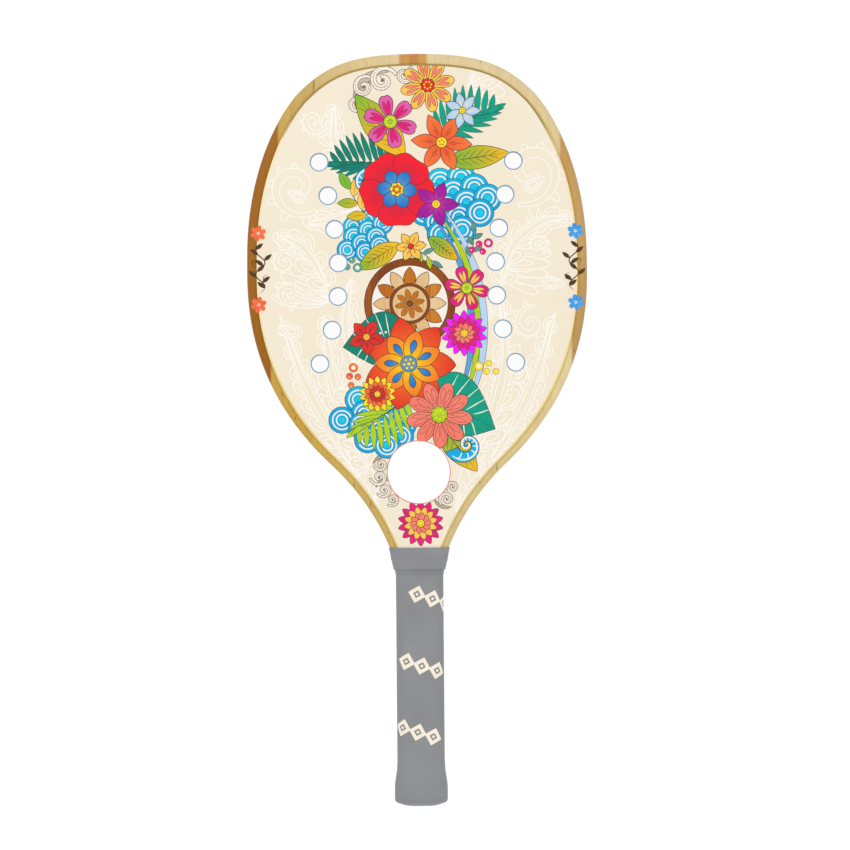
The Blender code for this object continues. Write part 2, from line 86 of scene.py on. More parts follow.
# Head outline, as in the CAD source: half width, reach, heading, pulls, steps to the next anchor
THROAT_HALF_WIDTH = 0.0199
THROAT_REACH = 0.3275
SHAFT_TOP = 0.3395
WIDEST_REACH = 0.1354
OUTLINE_ANCHORS = (
    ((0.0, 0.0), 90.0, (0.0, 0.0408), 20),
    ((0.0780, 0.0255), 45.0, (0.0270, 0.0109), 36),
    ((0.1129, WIDEST_REACH), 0.0, (0.0651, 0.0216), 36),
    ((0.0581, 0.2727), -46.7, (0.0814, 0.0302), 20),
    ((THROAT_HALF_WIDTH, THROAT_REACH), -22.3, (0.0145, 0.0060), 16),
    ((HANDLE_HALF_WIDTH, SHAFT_TOP), 0.0, (0.0030, 0.0), 0),
)
EDGE_RADIUS = 0.0035
EDGE_ARC = [math.radians(90.0) * step / 8 for step in range(9)]
RIM_CHAMFER = 0.0004
RIM_FLATS = (0.0028, 0.0024, 0.0003)
RIM_TAPER_START = 0.020
LEDGE_WIDTH = 0.0035
FILM_MARGIN = 0.00005

# Holes
THROAT_HOLE_Y = TIP_Y - 0.2781
THROAT_HOLE_RADIUS = 0.0207
SMALL_HOLE_RADIUS = 0.0055
HOLES_PER_SIDE = 7
HOLE_ROW_REACH = 0.0715
HOLE_PITCH = 0.02234
HOLE_ROW_OFFSET = 0.0521
HOLE_ROW_WAIST = 0.1463
HOLE_ROW_RADIUS = 0.164
HOLE_ROW_LEAN = 11.0

# Wrap. The profile gives shares of the band's width and of the depth of its seam.
HANDLE_CORNER = 0.006
CORNER_STEPS = 8
WRAP_PITCH = 0.0223
WRAP_TONGUE = 0.002
WRAP_TIP = 0.0001
WRAP_SEAM = 0.0006
SEAM_DEPTH = 0.00005
HAIRLINE = 0.00002
TAPE_FADE = 0.0026
BAND_EDGE = ((0.000, 1.0), (0.006, 0.75), (0.014, 0.40), (0.026, 0.12), (0.050, 0.0), (0.250, 0.0))
BAND_PROFILE = [*BAND_EDGE, (0.500, 0.0), *((1.0 - share, drop) for share, drop in BAND_EDGE[::-1])]

# Collar, as in the CAD source, and butt
COLLAR_WALL = 0.0009
COLLAR_OUTSIDE = (
    (0.00, 0.00, 0.00, 0.44), (0.08, 0.10, 0.01, 0.42), (0.27, 0.30, 0.14, 0.50),
    (0.47, 0.57, 0.46, 1.00), (0.67, 0.79, 0.86, 1.00), (0.88, 1.00, 1.00, 1.00),
    (0.96, 1.00, 1.00, 0.75), (1.00, 1.00, 1.00, 0.42),
)
COLLAR_INSIDE = ((0.52, 0.58, 0.30), (0.25, 0.25, 0.02), (0.00, 0.00, 0.00))
BUTT_FLARE = 0.00185
FLARE_LENGTH = 0.016
CAP_RIM_HEIGHT = 0.0054
CAP_END_RADIUS = 0.0030
CAP_END_SWEEP = math.radians(62.0)
CAP_DOME = 0.0024
CAP_FLAT_HALF_WIDTH = 0.0055
CAP_SKIRT_STEP = 0.0005

# Print: its height over the film, how far it goes round the rim's edge, the widths of its lines
INK_LIFT = 0.00003
PRINTED_ARC = EDGE_ARC[3:]
OUTLINE = 0.00042
WHITE_LINE = 0.00082
ENGRAVED_LINE = 0.00042
COMB_LINE = 0.00026
HATCH_LINE = 0.00024
PALE_VEIN = 0.0009
SHELL_BAND = 0.0011
SHELL_RIB = 0.0007
VINE_STEM = 0.00075
VINE_HOOK = 0.0005
WOOD_MARK = 0.0006
SMALL_RING = 0.00075
THROAT_RING = 0.00050
# Widths of the painted shade and highlight line inside the rim, and of the painted gleam band on
# the rim's inner edge
SHADE_GLEAM_WIDTH = 0.0012
GLEAM_BAND_WIDTH = 0.0014

# Limits for loops: edges and corners too small to push outwards, how far a sharp corner may run
# out, when two points are one, and the kind of partition that keeps only what is inside
NO_EDGE = 1e-12
NO_CORNER = 1e-6
SHARPEST = 0.45
SAME_POINT = 1e-7
INSIDE = 1

# Marks in the rim's wood: across, up, length and lean, in millimetres
WOOD_MARKS = (
    (-67.5, 230.2, 6.0, 0.1), (-90.2, 24.2, 3.2, 0.3), (-80.4, 3.0, 4.2, 0.3),
    (-81.6, 8.4, 3.0, 0.3), (-42.9, -36.4, 4.8, 0.2), (-32.2, -49.0, 4.6, 0.3),
    (-20.8, -68.0, 1.8, 0.1), (52.0, -25.4, 5.2, -0.2), (40.6, -35.2, 1.8, 0.1),
    (43.6, 244.4, 1.4, 0.0), (104.0, 52.0, 3.0, 0.2), (-99.5, 40.0, 2.4, 0.2),
)
# Marks on the grip: name, way round from the middle, reach and side. Then their lozenges, each
# of three sizes one inside another, with the wrap showing in the second, and the lines that they
# bend along.
MARKS = (
    ("mark_upper", 0.0085, 0.3622, 1), ("mark_middle", 0.0010, 0.4068, 1),
    ("mark_lower", -0.0020, 0.4508, 1), ("mark_back_upper", 0.0030, 0.3840, -1),
    ("mark_back_lower", -0.0010, 0.4290, -1),
)
MARK_MIDDLES = (-0.0108, 0.0, 0.0108)
MARK_SIZES = (0.0060, 0.0027, 0.0012)
BARE_SIZE = 1
MARK_TURN = math.radians(16.5)
MARK_BEND = 0.0011
MARK_BENDS = 20
MARK_HALF_HEIGHT = MARK_BEND * 10

# Half the width that the planks' ramps span, the heights between which the lower planks give way
# to the upper ones and the painted gleam on the rim's inner edge fades, how far a surface faces the
# front when its grain turns upright, the heights that the painted shade and highlight along the rim
# span, and the printed strips of bamboo
HEAD_HALF_WIDTH = 0.113
PLANKS_MEET = (0.095, 0.125)
GLEAM_FADES = (0.200, 0.245)
GRAIN_TURNS = (0.4, 0.8)
PAINTED_SHADE_GLEAM_SPAN = (-0.08, 0.25)
STRIPS_PER_METRE = 230.0
# Colours as they look on a screen, 0 to 255. Rows of a ramp start with their position.
UPPER_PLANKS = (
    (0.000, 164, 103, 20), (0.092, 170, 109, 28), (0.096, 208, 171, 90), (0.196, 212, 181, 108),
    (0.1985, 150, 120, 52), (0.201, 213, 186, 120), (0.300, 229, 201, 145), (0.451, 236, 213, 162),
    (0.454, 212, 158, 88), (0.484, 210, 153, 80), (0.490, 203, 138, 74), (0.508, 204, 140, 76),
    (0.514, 212, 160, 86), (0.5335, 212, 162, 88), (0.537, 233, 212, 162), (0.700, 234, 213, 165),
    (0.920, 231, 209, 158), (0.924, 205, 160, 94), (1.000, 203, 165, 104),
)
LOWER_PLANKS = (
    (0.000, 163, 104, 20), (0.066, 161, 102, 16), (0.070, 212, 171, 80), (0.150, 206, 166, 70),
    (0.300, 216, 184, 104), (0.450, 210, 178, 104), (0.560, 226, 203, 142), (0.800, 229, 206, 150),
    (0.951, 237, 216, 168), (0.955, 196, 153, 88), (1.000, 198, 158, 96),
)
# Painted light along the inside of the rim, by height, on the left and on the right: a painted
# olive shadow near the top and a painted pale highlight down the sides
LEFT_PAINTED_SHADE_GLEAM = (
    (0.00, 226, 198, 122), (0.24, 232, 203, 130), (0.36, 238, 210, 144), (0.44, 251, 227, 170),
    (0.56, 252, 233, 184), (0.80, 251, 232, 188), (0.87, 172, 144, 86),
)
RIGHT_PAINTED_SHADE_GLEAM = (
    (0.00, 222, 196, 132), (0.24, 236, 212, 150), (0.34, 240, 220, 150), (0.56, 250, 230, 180),
    (0.76, 249, 229, 184), (0.82, 214, 188, 138), (0.86, 166, 138, 82),
)
# An ink of two colours has a fine print grain between them. One of three changes from the middle
# of its figure outwards, or from the foot to the tip if it is a long one.
LONG_INKS = ("cyan", "green_gold", "gold_green")
INKS = {
    "line": (58, 44, 38, 72, 54, 44), "leafline": (12, 84, 72, 20, 96, 80),
    "white_line": (254, 248, 237, 255, 251, 243), "sepia": (112, 90, 76, 132, 110, 92),
    "wash": (204, 186, 166, 216, 200, 182), "ground": (248, 239, 224, 252, 245, 234),
    "teal": (0, 152, 124, 2, 166, 136), "deep_teal": (0, 122, 104, 4, 138, 116),
    "sea": (84, 150, 138, 104, 168, 156), "cyan": (0, 168, 226, 0, 182, 232, 0, 206, 236),
    "aqua": (0, 196, 230, 20, 212, 238), "sky": (176, 210, 240, 190, 220, 246),
    "blue": (96, 168, 220, 22, 116, 196, 14, 94, 178), "lime": (166, 206, 32, 188, 218, 30),
    "green_gold": (252, 196, 22, 214, 184, 38, 120, 188, 50),
    "gold_green": (110, 186, 58, 176, 184, 46, 250, 188, 26),
    "gold": (252, 196, 70, 255, 208, 92), "yellow": (255, 214, 20, 255, 230, 60),
    "red": (176, 24, 90, 228, 26, 60, 252, 24, 40), "scarlet": (214, 40, 34, 230, 52, 42),
    "orange": (238, 84, 44, 246, 106, 54, 250, 124, 60),
    "fire": (255, 222, 20, 250, 150, 32, 240, 64, 30),
    "ember": (250, 176, 30, 244, 96, 34, 226, 44, 26), "coral": (250, 122, 104, 252, 136, 116),
    "brick": (196, 64, 52, 206, 76, 60), "pink": (236, 60, 150, 232, 88, 166, 226, 96, 172),
    "magenta": (226, 16, 116, 238, 30, 130), "fuchsia": (244, 10, 246, 250, 34, 250),
    "violet": (214, 60, 180, 174, 20, 160, 150, 16, 150),
    "hole_blue": (112, 158, 194, 128, 172, 204), "hole_coral": (224, 104, 84, 236, 122, 100),
    "bud_blue": (58, 154, 230, 78, 168, 238), "bud_coral": (242, 102, 60, 250, 120, 78),
    "vine": (70, 44, 30, 92, 60, 40), "knot": (112, 84, 40, 134, 98, 50),
    "grip_cream": (250, 238, 218, 254, 243, 226),
}
# Printed strips of bamboo: three shades of strip, then their fibres
BAMBOOS = {
    "bamboo": ("ink_bamboo", (238, 202, 150), (230, 190, 134), (244, 214, 166), (206, 150, 84)),
    "amber_bamboo": ("ink_amber", (206, 122, 24), (192, 106, 16), (222, 142, 44), (140, 70, 10)),
    "dark_bamboo": ("ink_dark", (150, 74, 14), (132, 62, 12), (170, 92, 26), (92, 42, 10)),
}

# Every finish: specular level, the range that most noise lies in, and the angle up to which the
# edges of a mesh are shaded smooth
SHEEN = 0.2
NOISE_RANGE = (0.3, 0.7)
SMOOTH_ANGLE = math.radians(32.0)

# Camera: where the middle of the photograph falls on the racket, the width it spans and its turn
VIEW_CENTRE = (0.00442, 0.00325)
VIEW_WIDTH = 0.5648
VIEW_TURN = math.radians(-0.4745)
LENS = 900.0
SENSOR = 36.0

# Light. Lamps are a name, a power, a size and a place.
WORLD_LIGHT = 0.76
LAMPS = (("key", 9.6, 1.4, (-1.0, 0.9, 1.7)), ("fill", 5.6, 1.6, (1.3, -0.6, 1.5)))
FLOOR_GLOW = 0.96
FLOOR_HALF_WIDTH = 12.0


def tint(red, green, blue):
    """A colour as it looks on a screen, as the linear one that a shader takes."""
    shares = [part / 255 for part in (red, green, blue)]
    return (*(s / 12.92 if s <= 0.04045 else ((s + 0.055) / 1.055) ** 2.4 for s in shares), 1.0)


def grey(level):
    return (level, level, level, 1.0)


def smoothstep(value, start, end):
    share = min(max((value - start) / (end - start), 0.0), 1.0)
    return share * share * (3.0 - 2.0 * share)


def blend(start, end, share):
    return start + (end - start) * share


# Materials

class Nodes:
    """Shader nodes in the making, added one by one and joined up."""

    def __init__(self, tree):
        self.tree = tree

    def node(self, kind, inputs=None, **settings):
        made = self.tree.nodes.new("ShaderNode" + kind)
        for name, value in settings.items():
            setattr(made, name, value)
        for name, value in (inputs or {}).items():
            self.plug(value, made.inputs[name])
        return made

    def plug(self, value, socket):
        if isinstance(value, bpy.types.NodeSocket):
            self.tree.links.new(value, socket)
        else:
            socket.default_value = value

    def math(self, operation, one, other=0.0):
        return self.node("Math", {0: one, 1: other}, operation=operation).outputs[0]

    def by_view(self, lighting, seen):
        """One shader for the light that it gives, another for what the camera sees of it."""
        path = self.node("LightPath").outputs
        share = self.math("MAXIMUM", path["Is Camera Ray"], path["Is Glossy Ray"])
        share = self.math("MAXIMUM", share, path["Is Transmission Ray"])
        return self.node("MixShader", {0: share, 1: lighting, 2: seen}).outputs[0]


class Finish(Nodes):
    """A material in the making."""

    def __init__(self, name, roughness, specular=SHEEN):
        self.material = bpy.data.materials.new(name)
        self.material.use_nodes = True
        super().__init__(self.material.node_tree)
        self.shader = self.tree.nodes["Principled BSDF"]
        self.plug(roughness, self.shader.inputs["Roughness"])
        self.plug(specular, self.shader.inputs["Specular IOR Level"])
        self.place = self.node("NewGeometry").outputs["Position"]

    def parts(self, vector):
        return self.node("SeparateXYZ", {"Vector": vector}).outputs

    def noise(self, scale=1.0, detail=3.0, stretch=None, roughness=0.5, distortion=0.0):
        """Noise in the world's frame, finer along an axis where stretch is greater."""
        place = self.place
        if stretch:
            place = self.node("Mapping", {"Vector": place, "Scale": stretch}).outputs["Vector"]
        inputs = {"Vector": place, "Scale": scale, "Detail": detail,
                  "Roughness": roughness, "Distortion": distortion}
        return self.node("TexNoise", inputs).outputs["Fac"]

    def ramp(self, value, rows):
        """Colours along a value: rows are a position and a colour as it looks on a screen."""
        made = self.node("ValToRGB", {"Fac": value})
        elements = made.color_ramp.elements
        while len(elements) < len(rows):
            elements.new(1.0)
        for element, (position, *colour) in zip(elements, rows):
            element.position = position
            element.color = tint(*colour)
        return made.outputs["Color"]

    def mix(self, share, one, other, blend_type="MIX"):
        inputs = {"Factor": share, 6: one, 7: other}
        return self.node("Mix", inputs, data_type="RGBA", blend_type=blend_type).outputs[2]

    def remap(self, value, low, high, new_low=0.0, new_high=1.0):
        inputs = {"Value": value, "From Min": low, "From Max": high,
                  "To Min": new_low, "To Max": new_high}
        return self.node("MapRange", inputs).outputs["Result"]

    def spread(self, noise, low=0.0, high=1.0):
        """Noise mapped from NOISE_RANGE, where most of it lies, to another range."""
        return self.remap(noise, *NOISE_RANGE, low, high)

    def done(self, colour, grain=None, rough=None, relief=None, height=None):
        """Closes the material. The grain varies its roughness and, or else height, its relief."""
        self.plug(colour, self.shader.inputs["Base Color"])
        if rough:
            self.plug(self.spread(grain, *rough), self.shader.inputs["Roughness"])
        if relief:
            inputs = {"Height": grain if height is None else height,
                      "Strength": relief[0], "Distance": relief[1]}
            self.plug(self.node("Bump", inputs).outputs["Normal"], self.shader.inputs["Normal"])
        return self.material


def wood_material(name, painted_gleam):
    """Lacquered wood look in upright planks: a plank's colour depends on where it stands."""
    made = Finish(name, roughness=0.36)
    parts = made.parts(made.place)
    across = made.remap(parts["X"], -HEAD_HALF_WIDTH, HEAD_HALF_WIDTH)
    wander = made.noise(detail=2.0, stretch=(60, 9, 60))
    across = made.math("ADD", across, made.spread(wander, -0.0022, 0.0022))
    upper, lower = made.ramp(across, UPPER_PLANKS), made.ramp(across, LOWER_PLANKS)
    planks = made.mix(made.remap(parts["Y"], *PLANKS_MEET), lower, upper)
    facing = made.parts(made.node("NewGeometry").outputs["Normal"])["Z"]
    front = made.remap(made.math("ABSOLUTE", facing), *GRAIN_TURNS)

    def streaks(fine, coarse, **settings):
        """Noise drawn out up the planks on the front, and round the hoop on its side."""
        upright = made.noise(stretch=(fine, coarse, fine), **settings)
        level = made.noise(stretch=(coarse, coarse, fine), **settings)
        return made.mix(front, level, upright)

    fibres = streaks(1300, 30, detail=4.0, roughness=0.6)
    broad = streaks(200, 10, distortion=0.4)
    flecks = streaks(800, 60, detail=1.0)
    grain = planks
    for noise, low, high, share, shade, blend_type in (
            (fibres, 0.35, 0.70, 0.16, (150, 104, 52), "MULTIPLY"),
            (broad, 0.45, 0.75, 0.16, (160, 116, 62), "MULTIPLY"),
            (flecks, 0.74, 0.80, 0.45, (110, 76, 36), "MIX")):
        grain = made.mix(made.remap(noise, low, high, 0.0, share), grain, tint(*shade), blend_type)
    # Painted highlight: the rim's inner band turns golden as a lit edge would, fully low on the
    # head and less near the tip
    if painted_gleam:
        share = made.remap(parts["Y"], *GLEAM_FADES, 1.0, 0.30)
        grain = made.mix(share, grain, tint(243, 243, 200), "MULTIPLY")
    return made.done(grain, broad, (0.32, 0.44), (0.10, 0.0002), fibres)


def film_material():
    """Cream printed film: a pale ground with a faint mottle under clear lacquer."""
    made = Finish("film_ground", roughness=0.38)
    cloud = made.spread(made.noise(14.0, 2.0))
    ground = made.ramp(cloud, ((0.0, 245, 232, 208), (0.5, 246, 234, 211), (1.0, 247, 236, 214)))
    return made.done(ground, made.noise(700.0, 2.0), (0.34, 0.42), (0.05, 0.0001))


def moulded_material(name, dark, light, pore_scale, strength, roughness):
    """Rubbery or plastic surface with fine pores and a slow change of tone."""
    made = Finish(name, roughness=roughness)
    pores = made.noise(pore_scale, roughness=0.6)
    shade = made.mix(made.spread(made.noise(45.0)), tint(*dark), tint(*light))
    shade = made.mix(made.remap(pores, 0.55, 0.75, 0.0, 0.12), shade, tint(100, 100, 104))
    return made.done(shade, pores, (roughness - 0.06, roughness + 0.06), (strength, 0.0003))


def foam_material(name, dark, light, cell_scale):
    """Closed-cell foam with its cut cells."""
    made = Finish(name, roughness=0.9)
    cells = made.node("TexVoronoi", {"Vector": made.place, "Scale": cell_scale}).outputs["Distance"]
    shade = made.mix(made.remap(cells, 0.0, 0.8), tint(*dark), tint(*light))
    return made.done(shade, cells, relief=(0.35, 0.0003))


def laminate_material():
    """Glass and resin sheet with a plain weave."""
    made = Finish("face_laminate_look", roughness=0.4)
    inputs = {"Vector": made.place, "Scale": 260.0, "Distortion": 0.6}
    threads = [made.node("TexWave", inputs, bands_direction=way).outputs["Fac"] for way in "XY"]
    weave = made.math("MULTIPLY", *threads)
    shade = made.mix(weave, tint(188, 168, 128), tint(214, 198, 160))
    return made.done(shade, weave, relief=(0.2, 0.0001))


def ink_material(name):
    """Printed ink with a fine grain."""
    values = INKS[name]
    colours = [values[index:index + 3] for index in range(0, len(values), 3)]
    made = Finish("ink_" + name, roughness=0.40)
    grain = made.noise(900.0, 2.0)
    if len(colours) == 2:
        tone = made.spread(made.noise(160.0, 2.0))
    else:
        parts = made.parts(made.node("TexCoord").outputs["Object"])
        flat = made.node("CombineXYZ", {"X": parts["X"], "Y": parts["Y"]}).outputs["Vector"]
        radius = made.node("VectorMath", {0: flat}, operation="LENGTH").outputs["Value"]
        reach = parts["Y"] if name in LONG_INKS else radius
        tone = made.math("ADD", reach, made.spread(grain, -0.02, 0.02))
    rows = [(index / (len(colours) - 1), *colour) for index, colour in enumerate(colours)]
    return made.done(made.ramp(tone, rows), grain, (0.36, 0.44), (0.04, 0.0001))


def bamboo_material(name, first, second, third, fibre):
    """Upright bamboo strips printed inside the medallion."""
    made = Finish(name, roughness=0.40)
    strip = made.math("MULTIPLY", made.parts(made.place)["X"], STRIPS_PER_METRE)
    which = made.node("TexWhiteNoise", {"W": made.math("FLOOR", strip)}, noise_dimensions="1D")
    shade = made.ramp(which.outputs["Value"], ((0.0, *first), (0.5, *second), (1.0, *third)))
    fibres = made.noise(stretch=(1700, 30, 1))
    shade = made.mix(made.remap(fibres, 0.40, 0.72, 0.0, 0.45), shade, tint(*fibre))
    edge = made.remap(made.math("FRACT", strip), 0.10, 0.0, 0.0, 0.5)
    return made.done(made.mix(edge, shade, tint(*fibre)), fibres, (0.36, 0.46))


def painted_shade_gleam_material():
    """Painted light along the rim: a painted olive shadow round the top and a painted pale gleam
    down both sides.
    """
    made = Finish("edge_line", roughness=0.40)
    parts = made.parts(made.place)
    wobble = made.spread(made.noise(40.0), -0.012, 0.012)
    height = made.remap(made.math("ADD", parts["Y"], wobble), *PAINTED_SHADE_GLEAM_SPAN)
    left, right = made.ramp(height, LEFT_PAINTED_SHADE_GLEAM), made.ramp(height, RIGHT_PAINTED_SHADE_GLEAM)
    return made.done(made.mix(made.remap(parts["X"], -0.02, 0.02), left, right))


@functools.cache
def print_material(name):
    """The material of an ink, made once."""
    # The line along the rim is painted shade and highlight, not an ink
    if name == "edge_line":
        return painted_shade_gleam_material()
    return bamboo_material(*BAMBOOS[name]) if name in BAMBOOS else ink_material(name)


# Pieces

def new_object(name, data):
    made = bpy.data.objects.new(name, data)
    bpy.context.scene.collection.objects.link(made)
    return made


def skin_mesh(name, points, faces):
    mesh = bpy.data.meshes.new(name)
    mesh.from_pydata(points, [], faces)
    return mesh


def add_piece(name, mesh, slot, material=None, replaces=(), matrix=None, smooth=True):
    """A piece of the dressed racket, riding on the one body."""
    piece = new_object(name, mesh)
    if material:
        mesh.materials.append(material)
    if smooth:
        mesh.shade_smooth()
        mesh.set_sharp_from_angle(angle=SMOOTH_ANGLE)
    if matrix is not None:
        piece.matrix_world = matrix
    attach(piece, "root")
    if replaces:
        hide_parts(*replaces)


def on_racket(across, reach, height):
    return Vector((across, TIP_Y - reach, MIDPLANE + height))


def saved(build, name):
    """The finished mesh, its faces turned outwards."""
    bmesh.ops.recalc_face_normals(build, faces=build.faces)
    mesh = bpy.data.meshes.new(name)
    build.to_mesh(mesh)
    build.free()
    return mesh


def loft_mesh(name, rings, closed=False):
    """A skin over rings of equally many points, capped at both ends or closed on itself."""
    build = bmesh.new()
    rows = [[build.verts.new(point) for point in ring] for ring in rings]
    pairs = list(zip(rows, rows[1:]))
    if closed:
        pairs.append((rows[-1], rows[0]))
    for one, other in pairs:
        for index in range(-1, len(one) - 1):
            build.faces.new((one[index], one[index + 1], other[index + 1], other[index]))
    if not closed:
        build.faces.new(rows[0][::-1])
        build.faces.new(rows[-1])
    return saved(build, name)


def plate_mesh(name, loops, bottom, top):
    """A flat plate between two heights, filled between its outline and its holes."""
    build = bmesh.new()
    places, triangles = partition(loops, [])
    corners = [build.verts.new((*place, MIDPLANE + bottom)) for place in places]
    for triangle, origin in triangles:
        if origin == {0}:
            build.faces.new([corners[index] for index in triangle])
    raised = bmesh.ops.extrude_face_region(build, geom=build.faces[:], use_keep_orig=True)["geom"]
    raised = [part for part in raised if isinstance(part, bmesh.types.BMVert)]
    bmesh.ops.translate(build, verts=raised, vec=(0.0, 0.0, top - bottom))
    return saved(build, name)


# Head

def outline_stations():
    """Positions and inward normals along the outer edge, from the -X shaft round to the +X one."""
    half = []
    for leaving, arriving in zip(OUTLINE_ANCHORS, OUTLINE_ANCHORS[1:]):
        start, start_heading, start_pulls, steps = leaving
        end, end_heading, end_pulls, _ = arriving
        a, d = Vector(start), Vector(end)
        turn_out, turn_in = math.radians(start_heading), math.radians(end_heading)
        b = a + Vector((math.sin(turn_out), math.cos(turn_out))) * start_pulls[1]
        c = d - Vector((math.sin(turn_in), math.cos(turn_in))) * end_pulls[0]
        for step in range(steps):
            curve, share = [a, b, c, d], step / steps
            while len(curve) > 2:
                curve = [blend(one, other, share) for one, other in zip(curve, curve[1:])]
            tangent = (curve[1] - curve[0]).normalized()
            half.append((blend(*curve, share), Vector((-tangent.y, tangent.x))))
    half.append((Vector((HANDLE_HALF_WIDTH, SHAFT_TOP)), Vector((-1.0, 0.0))))
    return [(Vector((-p.x, p.y)), Vector((-n.x, n.y))) for p, n in reversed(half[1:])] + half


def rim_width(reach):
    tip, widest, throat = RIM_FLATS
    flat = blend(tip, widest, smoothstep(reach, RIM_TAPER_START, WIDEST_REACH))
    flat = blend(flat, throat, smoothstep(reach, WIDEST_REACH, THROAT_REACH))
    return EDGE_RADIUS + flat + RIM_CHAMFER


def edge_outline(depth, from_rim=0):
    """A loop a distance in from the outer edge."""
    places = [position + normal * (rim_width(position.y) * from_rim + depth)
              for position, normal in outline_stations()]
    return counter_clockwise([(place.x, TIP_Y - place.y) for place in places])


def face_outline(depth):
    """A loop a distance in from the inside of the rim."""
    return edge_outline(depth, 1)


def disc(x, y, radius, sides):
    turns = [2 * math.pi * index / sides for index in range(sides)]
    return [(x + radius * math.cos(turn), y + radius * math.sin(turn)) for turn in turns]


def hole_places():
    """(x, y, radius, sides) of every hole through the head."""
    places = [(0.0, THROAT_HOLE_Y, THROAT_HOLE_RADIUS, 96)]
    for index in range(HOLES_PER_SIDE):
        reach = HOLE_ROW_REACH + index * HOLE_PITCH
        down = reach - HOLE_ROW_WAIST
        across = HOLE_ROW_OFFSET + down ** 2 / (2 * HOLE_ROW_RADIUS) + HOLE_ROW_LEAN * down ** 3
        places += [(way * across, TIP_Y - reach, SMALL_HOLE_RADIUS, 40) for way in (1, -1)]
    return places


def rim_mesh():
    """The hoop with its rounded edge, the step that the faces lie on, and two shafts."""
    corner = HALF_THICKNESS - EDGE_RADIUS
    stations = outline_stations()
    shafts = [(Vector((stations[end][0].x, SHAFT_END)), stations[end][1]) for end in (0, -1)]
    rings = []
    for position, normal in [shafts[0]] + stations + [shafts[1]]:
        rim = rim_width(min(position.y, THROAT_REACH))
        upper = [(EDGE_RADIUS * (1 - math.cos(angle)), corner + EDGE_RADIUS * math.sin(angle))
                 for angle in EDGE_ARC]
        upper += [(rim - max(RIM_CHAMFER, min(GLEAM_BAND_WIDTH, rim - EDGE_RADIUS)), HALF_THICKNESS),
                  (rim - RIM_CHAMFER, HALF_THICKNESS), (rim, HALF_THICKNESS - RIM_CHAMFER),
                  (rim, SHEET_BOTTOM), (rim + LEDGE_WIDTH, SHEET_BOTTOM)]
        ring = []
        for depth, height in upper + [(d, -h) for d, h in reversed(upper)]:
            place = position + normal * depth
            ring.append(on_racket(place.x, place.y, height))
        rings.append(ring)
    mesh = loft_mesh("rim", rings)
    # The inner band of the rim and its chamfer take a second wood with a painted gleam
    mesh.materials.append(wood_material("rim_wood", False))
    mesh.materials.append(wood_material("rim_painted_gleam", True))
    around_ring, arc = len(upper) * 2, len(EDGE_ARC)
    painted_gleam = {arc, arc + 1, around_ring - arc - 3, around_ring - arc - 2}
    for face in mesh.polygons:
        if len(face.vertices) == 4 and min(v % around_ring for v in face.vertices) in painted_gleam:
            face.material_index = 1
    return mesh


def build_head():
    holes = [disc(*place) for place in hole_places()]
    face, core = face_outline(FILM_MARGIN), face_outline(LEDGE_WIDTH + FILM_MARGIN)
    add_piece("rim", rim_mesh(), "wood_look_shell", replaces=["frame_tube"])
    foam = foam_material("core_foam_look", (206, 204, 196), (236, 234, 228), 1400.0)
    plate = plate_mesh("core", [core] + holes, -SHEET_BOTTOM, SHEET_BOTTOM)
    add_piece("core", plate, "core_foam", foam, ["eva_core"])
    laminate, film = laminate_material(), film_material()
    for side, name in ((1, "front"), (-1, "back")):
        for piece, bottom, top, slot, material, node in (
                ("_sheet", SHEET_BOTTOM, FILM_BOTTOM, "face_laminate", laminate, "_face_sheet"),
                ("_film", FILM_BOTTOM, FILM_TOP, "printed_film", film, "_decal")):
            plate = plate_mesh(name + piece, [face] + holes, *sorted((side * bottom, side * top)))
            add_piece(name + piece, plate, slot, material, [name + node])


# Handle

def rounded_rectangle(half_width, half_height, radius):
    """Points round a rectangle with rounded corners, from the foot of the +X +Z corner."""
    radius = min(radius, half_width - CLEARANCE, half_height - CLEARANCE)
    points = []
    for quarter in range(4):
        across = (half_width - radius) * (1 if quarter in (0, 3) else -1)
        up = (half_height - radius) * (1 if quarter in (0, 1) else -1)
        for step in range(CORNER_STEPS + 1):
            angle = math.radians(90.0) * (quarter + step / CORNER_STEPS)
            points.append((across + radius * math.cos(angle), up + radius * math.sin(angle)))
    return points


def section_ring(half_width, half_height, radius, reach):
    return [on_racket(x, reach, z) for x, z in rounded_rectangle(half_width, half_height, radius)]


def handle_ring(reach, offset):
    grow = offset + BUTT_FLARE * smoothstep(reach, CAP_TOP, CAP_TOP + FLARE_LENGTH)
    return section_ring(HANDLE_HALF_WIDTH + grow, HANDLE_HALF_THICKNESS + grow,
                        HANDLE_CORNER + grow, reach)


def grip_mesh():
    """One long band wound down the handle, its edges pressed down where the turns meet."""
    base = rounded_rectangle(HANDLE_HALF_WIDTH, HANDLE_HALF_THICKNESS, HANDLE_CORNER)
    lengths = [math.dist(point, base[index - 1]) for index, point in enumerate(base)]
    travelled = [sum(lengths[1:index + 1]) / sum(lengths) for index in range(len(base))]
    start = WRAP_TOP + WRAP_TONGUE - (WRAP_PITCH - WRAP_SEAM)
    sections = []
    upper = start
    while upper < WRAP_END - WRAP_TIP:
        turn, index = divmod(len(sections), len(base))
        upper = start + WRAP_PITCH * (turn + travelled[index])
        first = min(max(upper, WRAP_TOP), WRAP_END - WRAP_TIP)
        last = min(upper + WRAP_PITCH - HAIRLINE, WRAP_END)
        places = [(blend(first, last, share), WRAP_OFFSET - SEAM_DEPTH * drop)
                  for share, drop in BAND_PROFILE]
        places += [(last, CLEARANCE), (first, CLEARANCE)]
        points = [handle_ring(*place)[index] for place in places]
        sections.append([Vector((-point.x, point.y, point.z)) for point in points])
    return loft_mesh("grip", sections)


